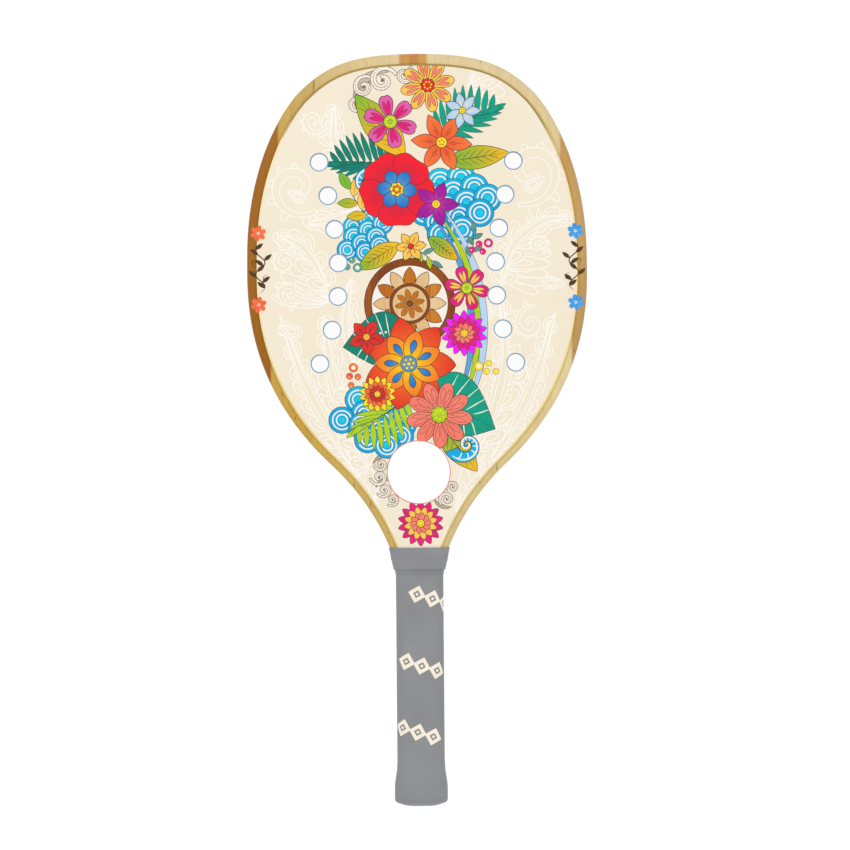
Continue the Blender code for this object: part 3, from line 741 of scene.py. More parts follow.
def tape_mesh():
    outer = TAPE_OFFSET + TAPE_THICKNESS
    rings = [handle_ring(*place) for place in (
        (TAPE_TOP, TAPE_OFFSET), (TAPE_TOP, outer), (TAPE_END - TAPE_FADE, outer),
        (TAPE_END, TAPE_OFFSET + HAIRLINE), (TAPE_END, TAPE_OFFSET))]
    return loft_mesh("tape", rings, closed=True)


def through(points, steps):
    """A smooth curve through points of any dimension."""
    last = len(points) - 1
    curve = []
    for place in range(last):
        corners = [points[min(max(place + k, 0), last)] for k in (-1, 0, 1, 2)]
        for step in range(steps):
            t = step / steps
            curve.append(tuple(
                0.5 * (2 * q + (r - p) * t + (2 * p - 5 * q + 4 * r - s) * t * t
                       + (3 * q - p - 3 * r + s) * t ** 3)
                for p, q, r, s in zip(*corners)))
    return curve + [tuple(points[-1])]


def collar_mesh():
    """A rubber ring from the throat's flat section to the wrapped handle's rounder one."""
    offset = TAPE_OFFSET + TAPE_THICKNESS + CLEARANCE
    grip = (HANDLE_HALF_WIDTH + offset, HANDLE_HALF_THICKNESS + offset, HANDLE_CORNER + offset)
    throat = (THROAT_HALF_WIDTH, HALF_THICKNESS + CLEARANCE, EDGE_RADIUS + CLEARANCE)
    length = COLLAR_END - COLLAR_TOP
    over_wrap = (WRAP_TOP - CLEARANCE - COLLAR_TOP) / length
    inside = ((1.0, 1.0, 1.0), (over_wrap, 1.0, 1.0)) + COLLAR_INSIDE
    rows = through(COLLAR_OUTSIDE, 5) + [(*row, 0.0) for row in inside]
    rings = []
    for along, in_width, in_height, wall in rows:
        section = [blend(narrow, wide, share) + wall * COLLAR_WALL
                   for narrow, wide, share in zip(throat, grip, (in_width, in_height, in_height))]
        rings.append(section_ring(*section, COLLAR_TOP + length * along))
    return loft_mesh("collar_ring", rings, closed=True)


def cap_mesh():
    """Flared skirt under the end of the wrap, and the rounded end that shows."""
    flange = WRAP_END + HAIRLINE
    rings = [handle_ring(CAP_TOP, -CAP_SKIRT_STEP)]
    rings += [handle_ring(CAP_TOP + FLARE_LENGTH * step / 8, 0.0) for step in range(9)]
    rings += [handle_ring(flange, 0.0), handle_ring(flange, WRAP_OFFSET - HAIRLINE)]
    offset = WRAP_OFFSET + BUTT_FLARE
    half_width, half_height = HANDLE_HALF_WIDTH + offset, HANDLE_HALF_THICKNESS + offset
    side = CAP_RIM_HEIGHT - CAP_END_RADIUS * math.sin(CAP_END_SWEEP) - CAP_DOME
    angles = [CAP_END_SWEEP * step / 10 for step in range(11)]
    profile = [(CAP_END_RADIUS * (1 - math.cos(angle)), side + CAP_END_RADIUS * math.sin(angle))
               for angle in angles]
    arc_inset, arc_depth = profile[-1]
    for step in range(1, 7):
        rise = math.sin(math.radians(90.0) * step / 6)
        inset = blend(arc_inset, half_width - CAP_FLAT_HALF_WIDTH, step / 6)
        profile.append((inset, blend(arc_depth, CAP_RIM_HEIGHT, rise)))
    for inset, depth in profile:
        radius = max(HANDLE_CORNER + offset - inset, CAP_END_RADIUS)
        rings.append(section_ring(half_width - inset, half_height - inset, radius,
                                  LENGTH - CAP_RIM_HEIGHT + depth))
    return loft_mesh("cap", rings)


def build_handle():
    wrap = moulded_material("grip_look", (139, 141, 144), (146, 147, 150), 1500.0, 0.22, 0.62)
    rubber = moulded_material("rubber_look", (138, 139, 143), (146, 146, 151), 900.0, 0.10, 0.5)
    tape = moulded_material("tape_look", (136, 137, 141), (143, 144, 148), 700.0, 0.06, 0.4)
    add_piece("grip", grip_mesh(), "grip_wrap", wrap, ["base_grip"])
    add_piece("tape", tape_mesh(), "finishing_tape", tape, ["finishing_tape"])
    add_piece("collar_ring", collar_mesh(), "collar_rubber", rubber, ["collar"])
    add_piece("cap", cap_mesh(), "cap_rubber", rubber, ["butt_cap"])
    plastic = moulded_material("pallet_look", (60, 60, 64), (70, 70, 74), 500.0, 0.1, 0.5)
    filler = foam_material("filler_look", (206, 190, 140), (226, 212, 168), 900.0)
    for name, material in (("front_pallet", plastic), ("back_pallet", plastic),
                           ("handle_core", filler), ("frame_foam", filler)):
        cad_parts[name].material_slots[0].material = material


# Drawing: loops are lists of (x, y), with y towards the tip

def turned(loop, angle):
    cos, sin = math.cos(angle), math.sin(angle)
    return [(x * cos - y * sin, x * sin + y * cos) for x, y in loop]


def moved(loop, x, y):
    return [(a + x, b + y) for a, b in loop]


def counter_clockwise(loop):
    area = sum(a[0] * b[1] - b[0] * a[1] for a, b in zip(loop, loop[1:] + loop[:1]))
    return loop if area > 0 else loop[::-1]


def grown(loop, distance):
    """The loop pushed outwards."""
    loop = counter_clockwise(loop)
    pushed = []
    for index, (x, y) in enumerate(loop):
        before, after = loop[index - 1], loop[(index + 1) % len(loop)]
        one = Vector((y - before[1], before[0] - x))
        other = Vector((after[1] - y, x - after[0]))
        if min(one.length, other.length) < NO_EDGE:
            continue
        normal = one.normalized() + other.normalized()
        if normal.length < NO_CORNER:
            continue
        normal.normalize()
        reach = distance / max(normal.dot(one.normalized()), SHARPEST)
        pushed.append((x + normal.x * reach, y + normal.y * reach))
    return pushed


def petal(length, width, fullness, lean, notch=0.0, start=0.0, steps=12, sway=0.0):
    """A petal up +Y from its foot. lean over 1 sets its widest part nearer the tip."""
    right, left = [], []
    for step in range(steps + 1):
        share = (1 - math.cos(math.pi * step / steps)) / 2
        half = width / 2 * math.sin(math.pi * share ** lean) ** fullness
        dip = notch * max(0.0, 1 - half / (0.30 * width)) ** 2 if share > 0.6 else 0.0
        middle, up = sway * share ** 2, start + length * (share - dip)
        right.append((middle + half, up))
        left.append((middle - half, up))
    return right + left[-2:0:-1]


def normals(points):
    """Unit normals to the left of a path."""
    last = len(points) - 1
    for index in range(len(points)):
        ahead = points[min(index + 1, last)] - points[max(index - 1, 0)]
        yield Vector((-ahead.y, ahead.x)).normalized()


def stroke(points, width, taper, floor):
    """A band along a path, thinner at its ends."""
    points = [Vector(point) for point in points]
    left, right = [], []
    for index, (point, normal) in enumerate(zip(points, normals(points))):
        share = index / (len(points) - 1)
        swell = min(1.0, floor + (1 - floor) * min(share, 1 - share) / taper)
        left.append(point + normal * width * swell / 2)
        right.append(point - normal * width * swell / 2)
    return [tuple(p) for p in right + left[::-1]]


def spiral(x, y, outer, inner, start, turns, steps):
    """A path that winds inwards."""
    path = []
    for step in range(steps + 1):
        share = step / steps
        radius = outer * (inner / outer) ** share
        angle = start + 2 * math.pi * turns * share
        path.append((x + radius * math.cos(angle), y + radius * math.sin(angle)))
    return path


def around(count, start=0.0):
    return [start + 2 * math.pi * index / count for index in range(count)]


class Figure:
    """One figure of the print, drawn in units of its own size, and mirrored if that is negative.
    What is laid later lies on top."""

    def __init__(self, name, x=0.0, y=0.0, size=1.0, turn=0.0, over_rim=False):
        self.name = name
        self.over_rim = over_rim
        self.size = abs(size)
        self.matrix = Matrix.Translation((x, y, 0.0)) @ Matrix.Rotation(math.radians(turn), 4, "Z")
        self.matrix = self.matrix @ Matrix.Diagonal((size, self.size, self.size, 1.0))
        self.shapes = []

    def lay(self, ink, loop, line="line", width=OUTLINE):
        """A filled loop, with a line round it unless line is None."""
        if line:
            self.shapes.append((line, grown(loop, width / self.size)))
        self.shapes.append((ink, loop))

    def trace(self, loop):
        """A fine white line on the ground, which hides what lies inside it."""
        self.lay("clear", loop, "white_line", WHITE_LINE)

    def draw(self, ink, path, width, taper=0.25, floor=0.15):
        """A line, its width in metres."""
        self.shapes.append((ink, stroke(path, width / self.size, taper, floor)))

    def petal(self, turn, ink, *shape, thin=1.0, line="line", **more):
        """A petal that points away from the middle."""
        self.lay(ink, turned(petal(*shape, **more), turn), line, OUTLINE * thin)

    def vein(self, turn, ink, reaches, thick):
        """A straight line away from the middle."""
        self.draw(ink, turned([(0.0, reach) for reach in reaches], turn), OUTLINE * thick)

    def dots(self, ink, count, ring, radius, start=0.0, line=None):
        """Dots on a ring round the middle."""
        for turn in around(count, start):
            dot = disc(ring * math.cos(turn), ring * math.sin(turn), radius, 12)
            self.lay(ink, dot, line, OUTLINE * 0.7)

    def placed(self):
        """(ink, loop) on the face, counter-clockwise."""
        for ink, loop in self.shapes:
            points = [(self.matrix @ Vector((x, y, 0.0))).to_2d() for x, y in loop]
            yield ink, counter_clockwise([tuple(point) for point in points])

    def frame(self, inks):
        """Where the piece stands: turned with the figure only if a colour runs along it."""
        if any(ink in LONG_INKS for ink in inks):
            return self.matrix
        x, y, _ = self.matrix.translation
        return Matrix.Translation((x, y, 0.0)) @ Matrix.Scale(self.size, 4)


# Figures of the print

def scallop(radius, lobes, depth):
    sides = lobes * 6
    swells = [1 + depth * math.cos(lobes * turn) for turn in around(sides)]
    return [(x * swell, y * swell) for swell, (x, y) in zip(swells, disc(0, 0, radius, sides))]


def daisy(art, count, ink, stripe, heart):
    """Round petals, each with two drops, behind a scalloped heart."""
    for turn in around(count):
        art.petal(turn, ink, 1.0, 0.42, 0.55, 1.7)
        for lean in (0.13, -0.13):
            art.petal(turn + lean, stripe, 0.50, 0.11, 0.8, 1.5, start=0.32, steps=8, thin=0.6)
    art.lay(heart, scallop(0.24, 9, 0.10))
    art.dots("yellow", 7, 0.13, 0.032)


def star(art, count, ink, vein, heart, width=0.46):
    """Pointed petals with a fold line."""
    for turn in around(count, 0.2):
        art.petal(turn, ink, 1.0, width, 0.9, 1.05)
        for lean, reach in ((0.0, 0.78), (0.10, 0.55), (-0.10, 0.55)):
            art.vein(turn + lean, vein, (0.24, (0.24 + reach) / 2, reach), 0.8)
    art.lay(heart, disc(0, 0, 0.17, 16))
    art.dots("scarlet", 5, 0.08, 0.028)


def poppy(art, ink, inner, heart):
    """Five broad overlapping petals with a smaller flower inside."""
    for turn in around(5, 0.3):
        loop = [(x * (1 + 0.03 * math.sin(26 * y)), y * (1 + 0.02 * math.cos(19 * x)))
                for x, y in petal(1.0, 1.02, 0.5, 1.9, 0.08, steps=16)]
        art.lay(ink, turned(loop, turn))
        for lean in (-0.28, -0.14, 0.0, 0.14, 0.28):
            art.vein(turn + lean, "line", (0.50, 0.66, 0.84 - abs(lean) * 0.4), 0.7)
    for turn in around(6, 0.1):
        art.petal(turn, inner, 0.52, 0.34, 0.55, 1.6)
        art.vein(turn, "line", (0.20, 0.30, 0.40), 0.6)
    art.lay(heart, scallop(0.17, 7, 0.12))
    art.dots("orange", 6, 0.09, 0.030, line="line")


def lotus(art, outer, inner, drop):
    """Two rings of pointed petals that glow from the middle, with drops on the inner ones."""
    for turn in around(7, 0.05):
        art.petal(turn, outer, 1.0, 0.56, 0.75, 1.15, steps=14)
        for lean in (-0.12, 0.0, 0.12):
            art.vein(turn + lean, "brick", (0.62, 0.74, 0.86 - abs(lean)), 0.8)
    for turn in around(7, 0.05 + math.pi / 7):
        art.petal(turn, inner, 0.72, 0.40, 0.7, 1.1)
        art.petal(turn, drop, 0.30, 0.13, 0.7, 1.5, start=0.22, steps=8)
    art.lay("blue", disc(0, 0, 0.17, 20))
    art.dots("yellow", 6, 0.10, 0.030, line="line")
    art.dots("yellow", 1, 0.0, 0.040, line="line")


def dahlia(art, *inks):
    """Rings of narrow petals, each ring shorter than the one below."""
    for level, ink in enumerate(inks):
        length, width = 1.0 - 0.27 * level, 0.34 - 0.05 * level
        for turn in around(14 - 2 * level, 0.22 * level):
            art.petal(turn, ink, length, width, 0.7, 1.35, steps=9, thin=0.8)
    art.lay("yellow", disc(0, 0, 0.16, 16))
    art.dots("orange", 6, 0.09, 0.026)


def cosmos(art, ink, stripe, heart):
    """Blunt notched petals with a forked stripe."""
    for turn in around(6, 0.15):
        art.petal(turn, ink, 1.0, 0.50, 0.5, 2.1, 0.06, steps=14)
        for lean in (0.12, -0.12):
            art.petal(turn + lean, stripe, 0.56, 0.12, 0.8, 1.3, start=0.22, steps=8, thin=0.6)
    art.lay(heart, disc(0, 0, 0.24, 18))
    art.dots("yellow", 8, 0.15, 0.032)
    art.dots("deep_teal", 5, 0.07, 0.026, start=0.3)


def leaf(art, ink, width):
    """A pointed leaf up +Y with a midrib and side veins."""
    art.lay(ink, petal(1.0, width, 0.85, 0.9, steps=18))
    art.vein(0.0, "line", (0.0, 0.5, 0.95), 1.3)
    for index in range(6):
        foot = 0.14 + 0.66 * index / 6
        spread = width * 0.36 * math.sin(math.pi * (foot + 0.12) ** 0.9)
        for side in (-1, 1):
            path = [(0.0, foot), (side * spread * 0.5, foot + 0.07), (side * spread, foot + 0.16)]
            art.draw("line", through(path, 3), OUTLINE * 0.8)


def frond(art, ink):
    """A feather palm: leaflets either side of an arched stem."""
    pairs, curl = 9, 0.25

    def leaflet(foot, lean, *shape):
        art.lay(ink, moved(turned(petal(*shape, steps=7), -lean), *foot), "leafline", OUTLINE * 0.7)

    for index in range(pairs):
        share = (index + 0.5) / pairs
        length = 0.42 * math.sin(math.pi * (0.18 + 0.74 * share)) + 0.10
        for side in (-1, 1):
            lean = side * (1.15 - 0.75 * share) - curl * share
            leaflet((curl * share ** 2, share * 0.9), lean, length, 0.085, 0.8, 0.85)
    leaflet((curl * 0.81, 0.80), curl, 0.22, 0.08, 0.8, 0.9)
    stem = [(curl * (k / 8) ** 2, 0.9 * k / 8 - 0.06) for k in range(9)]
    art.draw("leafline", stem, OUTLINE * 2.0, 0.5, 0.3)


def heart_leaf(art, ink):
    """A broad leaf with a cleft foot and pale veins cut right to its edge."""
    half = through([(0.0, 0.12), (0.14, -0.06), (0.36, -0.02), (0.50, 0.18), (0.47, 0.46),
                    (0.27, 0.76), (0.0, 1.05)], 6)
    art.lay(ink, half + [(-x, y) for x, y in reversed(half[1:-1])])
    art.vein(0.0, "leafline", (0.12, 0.5, 1.0), 1.6)
    for index, (foot, reach, rise) in enumerate((
            (0.18, 0.42, 0.00), (0.28, 0.47, 0.09), (0.40, 0.43, 0.17), (0.53, 0.34, 0.22),
            (0.66, 0.22, 0.22))):
        for side in (-1, 1):
            path = through([(side * 0.05, foot), (side * reach * 0.55, foot + rise * 0.4),
                            (side * (reach + 0.05), foot + rise)], 5)
            art.draw("ground", path, PALE_VEIN, 0.6, 0.2)
            if index < 3:
                art.lay("ground", disc(side * 0.13, foot + 0.055, 0.022, 10), None)


def scales(art, *rows):
    """Overlapping round scales in staggered rows, from the back row forwards."""
    for row, (count, shift) in enumerate(rows):
        for index in range(count):
            place = ((index - (count - 1) / 2) * 0.42 + shift, 0.60 - row * 0.25)
            art.lay("cyan", disc(*place, 0.27, 26), "leafline")
            for radius in (0.21, 0.13):
                art.lay("ground", disc(*place, radius, 22), None)
                art.lay("cyan", disc(*place, radius - 0.030, 22), None)
            art.lay("aqua", disc(*place, 0.07, 14), None)


def shell(art):
    """A wound sea shell with its chambers drawn in."""
    path = spiral(0.0, 0.0, 1.0, 0.10, 0.0, 1.6, 64)
    inner = [(x * 0.42, y * 0.42) for x, y in path]
    art.lay("cyan", path[:41] + [inner[39]] + inner[39::-1])
    art.lay("cyan", path[36:] + [(0.0, 0.0)], None)
    art.draw("ground", [(x * 0.86, y * 0.86) for x, y in path[2:]], SHELL_BAND, 0.1, 0.5)
    art.draw("line", inner, OUTLINE, 0.1, 0.6)
    for x, y in path[4:40:4]:
        bend = turned([(x * 0.70, y * 0.70)], 0.10)[0]
        rib = through([(x * 0.46, y * 0.46), bend, (x * 0.84, y * 0.84)], 4)
        art.draw("ground", rib, SHELL_RIB)


def beads(art, ink):
    """Small beads, the last one a ring."""
    for x, y, radius in ((-0.62, 0.42, 0.25), (0.10, 0.15, 0.26), (-0.30, -0.42, 0.25)):
        art.lay(ink, disc(x, y, radius, 18), "line", OUTLINE * 0.5)
        art.lay("ground", disc(x - radius * 0.25, y + radius * 0.25, radius * 0.22, 10), None)
    art.lay(ink, disc(0.55, -0.48, 0.36, 18), "line", OUTLINE * 0.5)
    art.lay("ground", disc(0.55, -0.48, 0.36 * 0.50, 14), None)


def sprig(art, inks, curl, leaf_length=0.34, leaf_width=0.15):
    """Leaves set alternately along a bent stem."""
    art.draw("line", [(curl * (k / 10) ** 2, k / 10) for k in range(11)], OUTLINE * 1.4)
    for index in range(5):
        share = 0.18 + 0.74 * index / 4
        foot = (curl * share ** 2, share)
        lean = curl if index == 4 else (1 if index % 2 else -1) * 0.85 + curl * share
        loop = turned(petal(leaf_length, leaf_width, 0.85, 0.9, steps=9), -lean)
        art.lay(inks[index % len(inks)], moved(loop, *foot), "line", OUTLINE * 0.8)
        vein = turned([(0.0, 0.03), (0.0, leaf_length * 0.45), (0.0, leaf_length * 0.8)], -lean)
        art.draw("line", moved(vein, *foot), OUTLINE * 0.7)


def ribbons(art, path, *bands):
    """Bands side by side along one smooth path: (ink, offset, width) in the figure's units."""
    line = [Vector(point) for point in through(path, 10)]
    for ink, offset, width in bands:
        shifted = [tuple(point + normal * offset) for point, normal in zip(line, normals(line))]
        art.lay(ink, stroke(shifted, width, 0.35, 0.12), "line", OUTLINE * 0.7)


def medallion(art):
    """A wooden ring round a twelve-rayed disc of upright strips."""
    art.lay("dark_bamboo", disc(0, 0, 1.0, 72))
    art.lay("ground", disc(0, 0, 0.84, 72))
    for index, turn in enumerate(around(12)):
        ink = "bamboo" if index % 2 else "amber_bamboo"
        art.petal(turn, ink, 0.42, 0.26, 0.75, 0.8, start=0.38)
    art.lay("dark_bamboo", disc(0, 0, 0.44, 48))
    art.lay("bamboo", disc(0, 0, 0.38, 48))
    for turn in around(8, 0.2):
        art.petal(turn, "amber_bamboo", 0.28, 0.12, 0.8, 1.2, start=0.05, steps=8, thin=0.6)
    art.lay("dark_bamboo", disc(0, 0, 0.06, 16))


def scrolls(art, bands, combs):
    """Engraved ornament: pale bands between brown lines, hatched across, and combed crescents."""
    for x, y, radius, start, sweep in combs:
        outer, inner = [], []
        for step in range(19):
            share = step / 18
            angle = start + sweep * share
            near = radius * (1 - 0.30 * math.sin(math.pi * share))
            outer.append((x + radius * math.cos(angle), y + radius * math.sin(angle)))
            inner.append((x + near * math.cos(angle), y + near * math.sin(angle)))
        art.lay("wash", outer + inner[-2:0:-1], "sepia", ENGRAVED_LINE)
        for near, far, lag in zip(inner[2:-2], outer[2:-2], outer[3:-1]):
            path = [near] + [((end[0] + lag[0]) / 2, (end[1] + lag[1]) / 2) for end in (near, far)]
            art.draw("sepia", path, COMB_LINE, 0.3, 0.5)
    for x, y, radius, start, way in bands:
        wound = spiral(0, 0, radius, radius * 0.24, start, 1.25, 36)
        path = [(x + way * a, y + b) for a, b in wound]
        art.lay("ground", stroke(path, radius * 0.34, 0.3, 0.45), "sepia", ENGRAVED_LINE)
        art.draw("wash", path[6:30], radius * 0.09 * art.size, 0.3, 0.3)
        for step in range(3, 34, 2):
            (a, b), (c, d) = path[step - 1], path[step + 1]
            across = Vector((b - d, c - a)).normalized() * way * radius
            hatch = [tuple(Vector(path[step]) + across * share) for share in (-0.13, -0.06, 0.02)]
            art.draw("sepia", hatch, HATCH_LINE, 0.3, 0.5)
        art.lay("sepia", disc(x, y, radius * 0.11, 12), None)


def scroll(art):
    """A wound band in two fine white lines, with small leaves on its back."""
    path = spiral(0, 0, 1.0, 0.20, -1.9, 1.22, 46)
    for index, (x, y) in enumerate(path[2:26:4]):
        out = math.atan2(y, x) - math.pi / 2
        loop = turned(petal(0.36 - 0.02 * index, 0.20, 0.6, 0.8, sway=0.10), out + 0.55)
        art.trace(moved(loop, x, y))
    art.trace(stroke(path, 0.24, 0.35, 0.30))


def hairpins(art, foot, heading, length, width, bend, nested=2):
    """Long bent leaves, one inside the other, in fine white lines."""
    for inner in range(nested):
        scale = 1.0 - 0.30 * inner
        loop = petal(length * scale, width * scale ** 2.2, 0.45, 1.05, sway=bend * length * scale)
        art.trace(moved(turned(loop, heading), *foot))


def flow(art, path, leaves, lengths, stem):
    """A long band of flowing lines with hairpin leaves down either side."""
    line = through(path, 12)
    for index in range(leaves):
        share = (index + 0.4) / leaves
        place = int(share * (len(line) - 2))
        (x, y), (x_next, y_next) = line[place], line[place + 1]
        heading = math.atan2(y_next - y, x_next - x) - math.pi / 2
        swell = math.sin(math.pi * (0.22 + 0.66 * share))
        for side, length in zip((-1, 1), lengths):
            if length:
                hairpins(art, (x, y), heading - side * blend(1.2, 0.45, share), length * swell,
                         HAIRPIN_WIDTH * (0.7 + 0.3 * swell), -side * 0.18)
    for share in (1.0, 0.42):
        art.trace(stroke(line, stem * share, 0.5, 0.04))


def fan(art, foot, start, sweep, count, lengths, bend):
    """Hairpin leaves that spread from one foot, the middle ones on top."""
    middle = (count - 1) / 2
    for index in sorted(range(count), key=lambda index: -abs(index - middle)):
        share = index / (count - 1)
        hairpins(art, foot, math.radians(start + sweep * share), blend(*lengths, share),
                 HAIRPIN_WIDTH, bend * (1 - 2 * share), 3)


def paisley(art):
    """Nested curved drops in fine white lines."""
    for index in range(3):
        scale = 1.0 - 0.32 * index
        loop = petal(scale, 0.62 * scale, 0.62, 0.62, sway=0.34 * scale)
        art.trace(moved(loop, 0.02 * index, 0.13 * index))


def bloom(art, ink):
    """A six-petalled bloom for the sides of the face."""
    for turn in around(6):
        art.petal(turn, ink, 1.0, 0.62, 0.5, 1.6, steps=9, line=None)
    art.lay("ground", disc(0, 0, 0.18, 12), None)
    art.dots(ink, 1, 0.0, 0.09)


def vine(art, way):
    """A dark looping tendril with leaves, up +Y."""
    stem = [(way * 0.10 * math.sin(2 * math.pi * t / 12), t / 24) for t in range(25)]
    art.draw("vine", stem, VINE_STEM, 0.2, 0.3)
    for index in range(8):
        share = 0.10 + 0.80 * index / 7
        side = way * (1 if index % 2 else -1)
        foot = (way * 0.10 * math.sin(4 * math.pi * share), share)
        loop = turned(petal(0.20, 0.085, 0.8, 0.9, steps=8), -side * 0.9)
        art.lay("vine", moved(loop, *foot), None)
    for share, side in ((0.28, 1), (0.62, -1)):
        hook = spiral(way * side * 0.12, share, 0.09, 0.02, 1.2 * side, 1.1 * side, 16)
        art.draw("vine", hook, VINE_HOOK, 0.3, 0.3)


def wood_marks(art):
    for x, y, length, lean in WOOD_MARKS:
        path = [(x - lean, y + length / 2), (x, y), (x + lean, y - length / 2)]
        art.draw("knot", path, WOOD_MARK, 0.4, 0.2)


def hole_rings(art):
    for x, y, radius, sides in hole_places()[1:]:
        art.lay("hole_blue", disc(x, y, radius + SMALL_RING, sides), None)


def throat_ring(art):
    art.lay("hole_coral", disc(0, 0, 1 + THROAT_RING / THROAT_HOLE_RADIUS, 96), None)


def drawn(draw, tag="", x=0, y=0, size=1, turn=0, *settings, over_rim=False):
    """A figure named after the function that draws it and its tag, placed in millimetres."""
    name = f"{draw.__name__}_{tag}" if tag else draw.__name__
    made = Figure(name, x * MM, y * MM, size * MM, turn, over_rim)
    draw(made, *settings)
    return made


# White ornament, in millimetres. Fans of hairpin leaves: tag, foot, bearing of the first leaf,
# sweep, number of leaves, lengths of the first and the last, bend.
HAIRPIN_WIDTH = 8.0
FANS = (
    ("right", (50, 112), -52, -84, 7, (40, 36), 0.16),
    ("left", (-60, 86), 24, 70, 5, (34, 36), -0.16),
    ("low_left", (-28, -56), 20, 60, 5, (30, 26), 0.2),
    ("low_right", (26, -56), -20, -60, 5, (30, 26), -0.2),
    ("tip_right", (36, 226), -30, -80, 5, (26, 22), -0.2),
)
# Flowing bands: tag, middle line, number of leaves, their lengths on either side, width of the stem
FLOWS = (
    ("left_rim", ((-40, -30), (-58, 0), (-76, 34), (-91, 76)), 9, (13, 15), 8),
    ("right_rim", ((42, -30), (61, -2), (78, 34), (91, 76)), 9, (18, 12), 8),
    ("left_inner", ((-34, -24), (-48, 8), (-58, 42), (-62, 76)), 8, (15, 18), 9),
    ("right_inner", ((36, -18), (49, 10), (58, 46), (56, 86)), 8, (16, 18), 9),
    ("left_holes", ((-42, 44), (-48, 70), (-44, 100)), 5, (0, 12), 6),
    ("right_upper", ((56, 96), (64, 122), (84, 138), (100, 140)), 6, (14, 14), 7),
    ("left_upper", ((-60, 96), (-74, 120), (-90, 130)), 5, (16, 12), 7),
    ("left_middle", ((-36, 148), (-56, 140), (-72, 138)), 4, (10, 12), 6),
    ("tip_left", ((-44, 172), (-54, 192), (-54, 214)), 5, (14, 11), 5),
)
# Scrolls and drops: place, size, which is negative where the figure is mirrored, and turn
SCROLLS = (
    (76, 172, 24, 0), (-80, 162, -21, 20), (-88, 112, 9, 150), (-68, 206, -10, 70),
    (66, 36, -8, 200), (-52, 22, 8, 20), (75, 70, 12, 190), (-85, 92, -9, 10), (80, 122, 7, 60),
)
PAISLEYS = (
    (47, -30, 15, 24), (62, -6, -14, -50), (-60, -16, -14, 40), (-42, -44, 12, 24),
    (74, 158, 13, -30), (-76, 152, -11, 30), (-78, 64, -14, 60), (84, 96, 13, -70),
    (46, 74, -11, -20), (-21, -72, 10, 20), (19, -76, -10, -20),
)


def white_ornament():
    """Fans, long bands, scrolls and drops all over the ground."""
    for draw, rows in ((fan, FANS), (flow, FLOWS)):
        for tag, *settings in rows:
            yield drawn(draw, tag, 0, 0, 1, 0, *settings)
    for draw, places in ((scroll, SCROLLS), (paisley, PAISLEYS)):
        for index, place in enumerate(places):
            yield drawn(draw, str(index), *place)


# The engraving's bands and combs: place, radius, start, and way or sweep round. At the throat the
# bands stand round the hole: bearing and radius.
TIP_BANDS = (
    (-0.10, 0.42, 0.50, 0.4, 1), (-0.72, 0.20, 0.40, 1.0, 1), (-0.98, -0.34, 0.32, 3.2, -1),
    (0.62, 0.60, 0.34, 2.2, -1),
)
TIP_COMBS = ((-0.20, -0.10, 0.86, 1.2, 2.4), (-0.30, -0.30, 0.70, 1.7, 2.2))
THROAT_BANDS = (
    ("throat_left", 1, ((168, 5.0), (187, 6.0), (207, 5.2), (226, 4.6))),
    ("throat_right", -1, ((-44, 5.4), (-24, 4.4))),
)


def engraving():
    """Brown scrolls at the tip and on both sides of the throat's hole."""
    yield drawn(scrolls, "tip", -20, 224, 20, 0, TIP_BANDS, TIP_COMBS)
    for tag, way, turns in THROAT_BANDS:
        bands = []
        for turn, radius in turns:
            x, y = turned([(THROAT_HOLE_RADIUS / MM + radius * 0.95, 0.0)], math.radians(turn))[0]
            bands.append((x, y, radius, math.radians(turn), way))
        combs = [(x * 0.94, y * 0.94, radius * 1.35, math.radians(60 * way), way * 1.9)
                 for x, y, radius, _, _ in bands[::2]]
        yield drawn(scrolls, tag, 0, THROAT_HOLE_Y / MM, 1, 0, bands, combs)


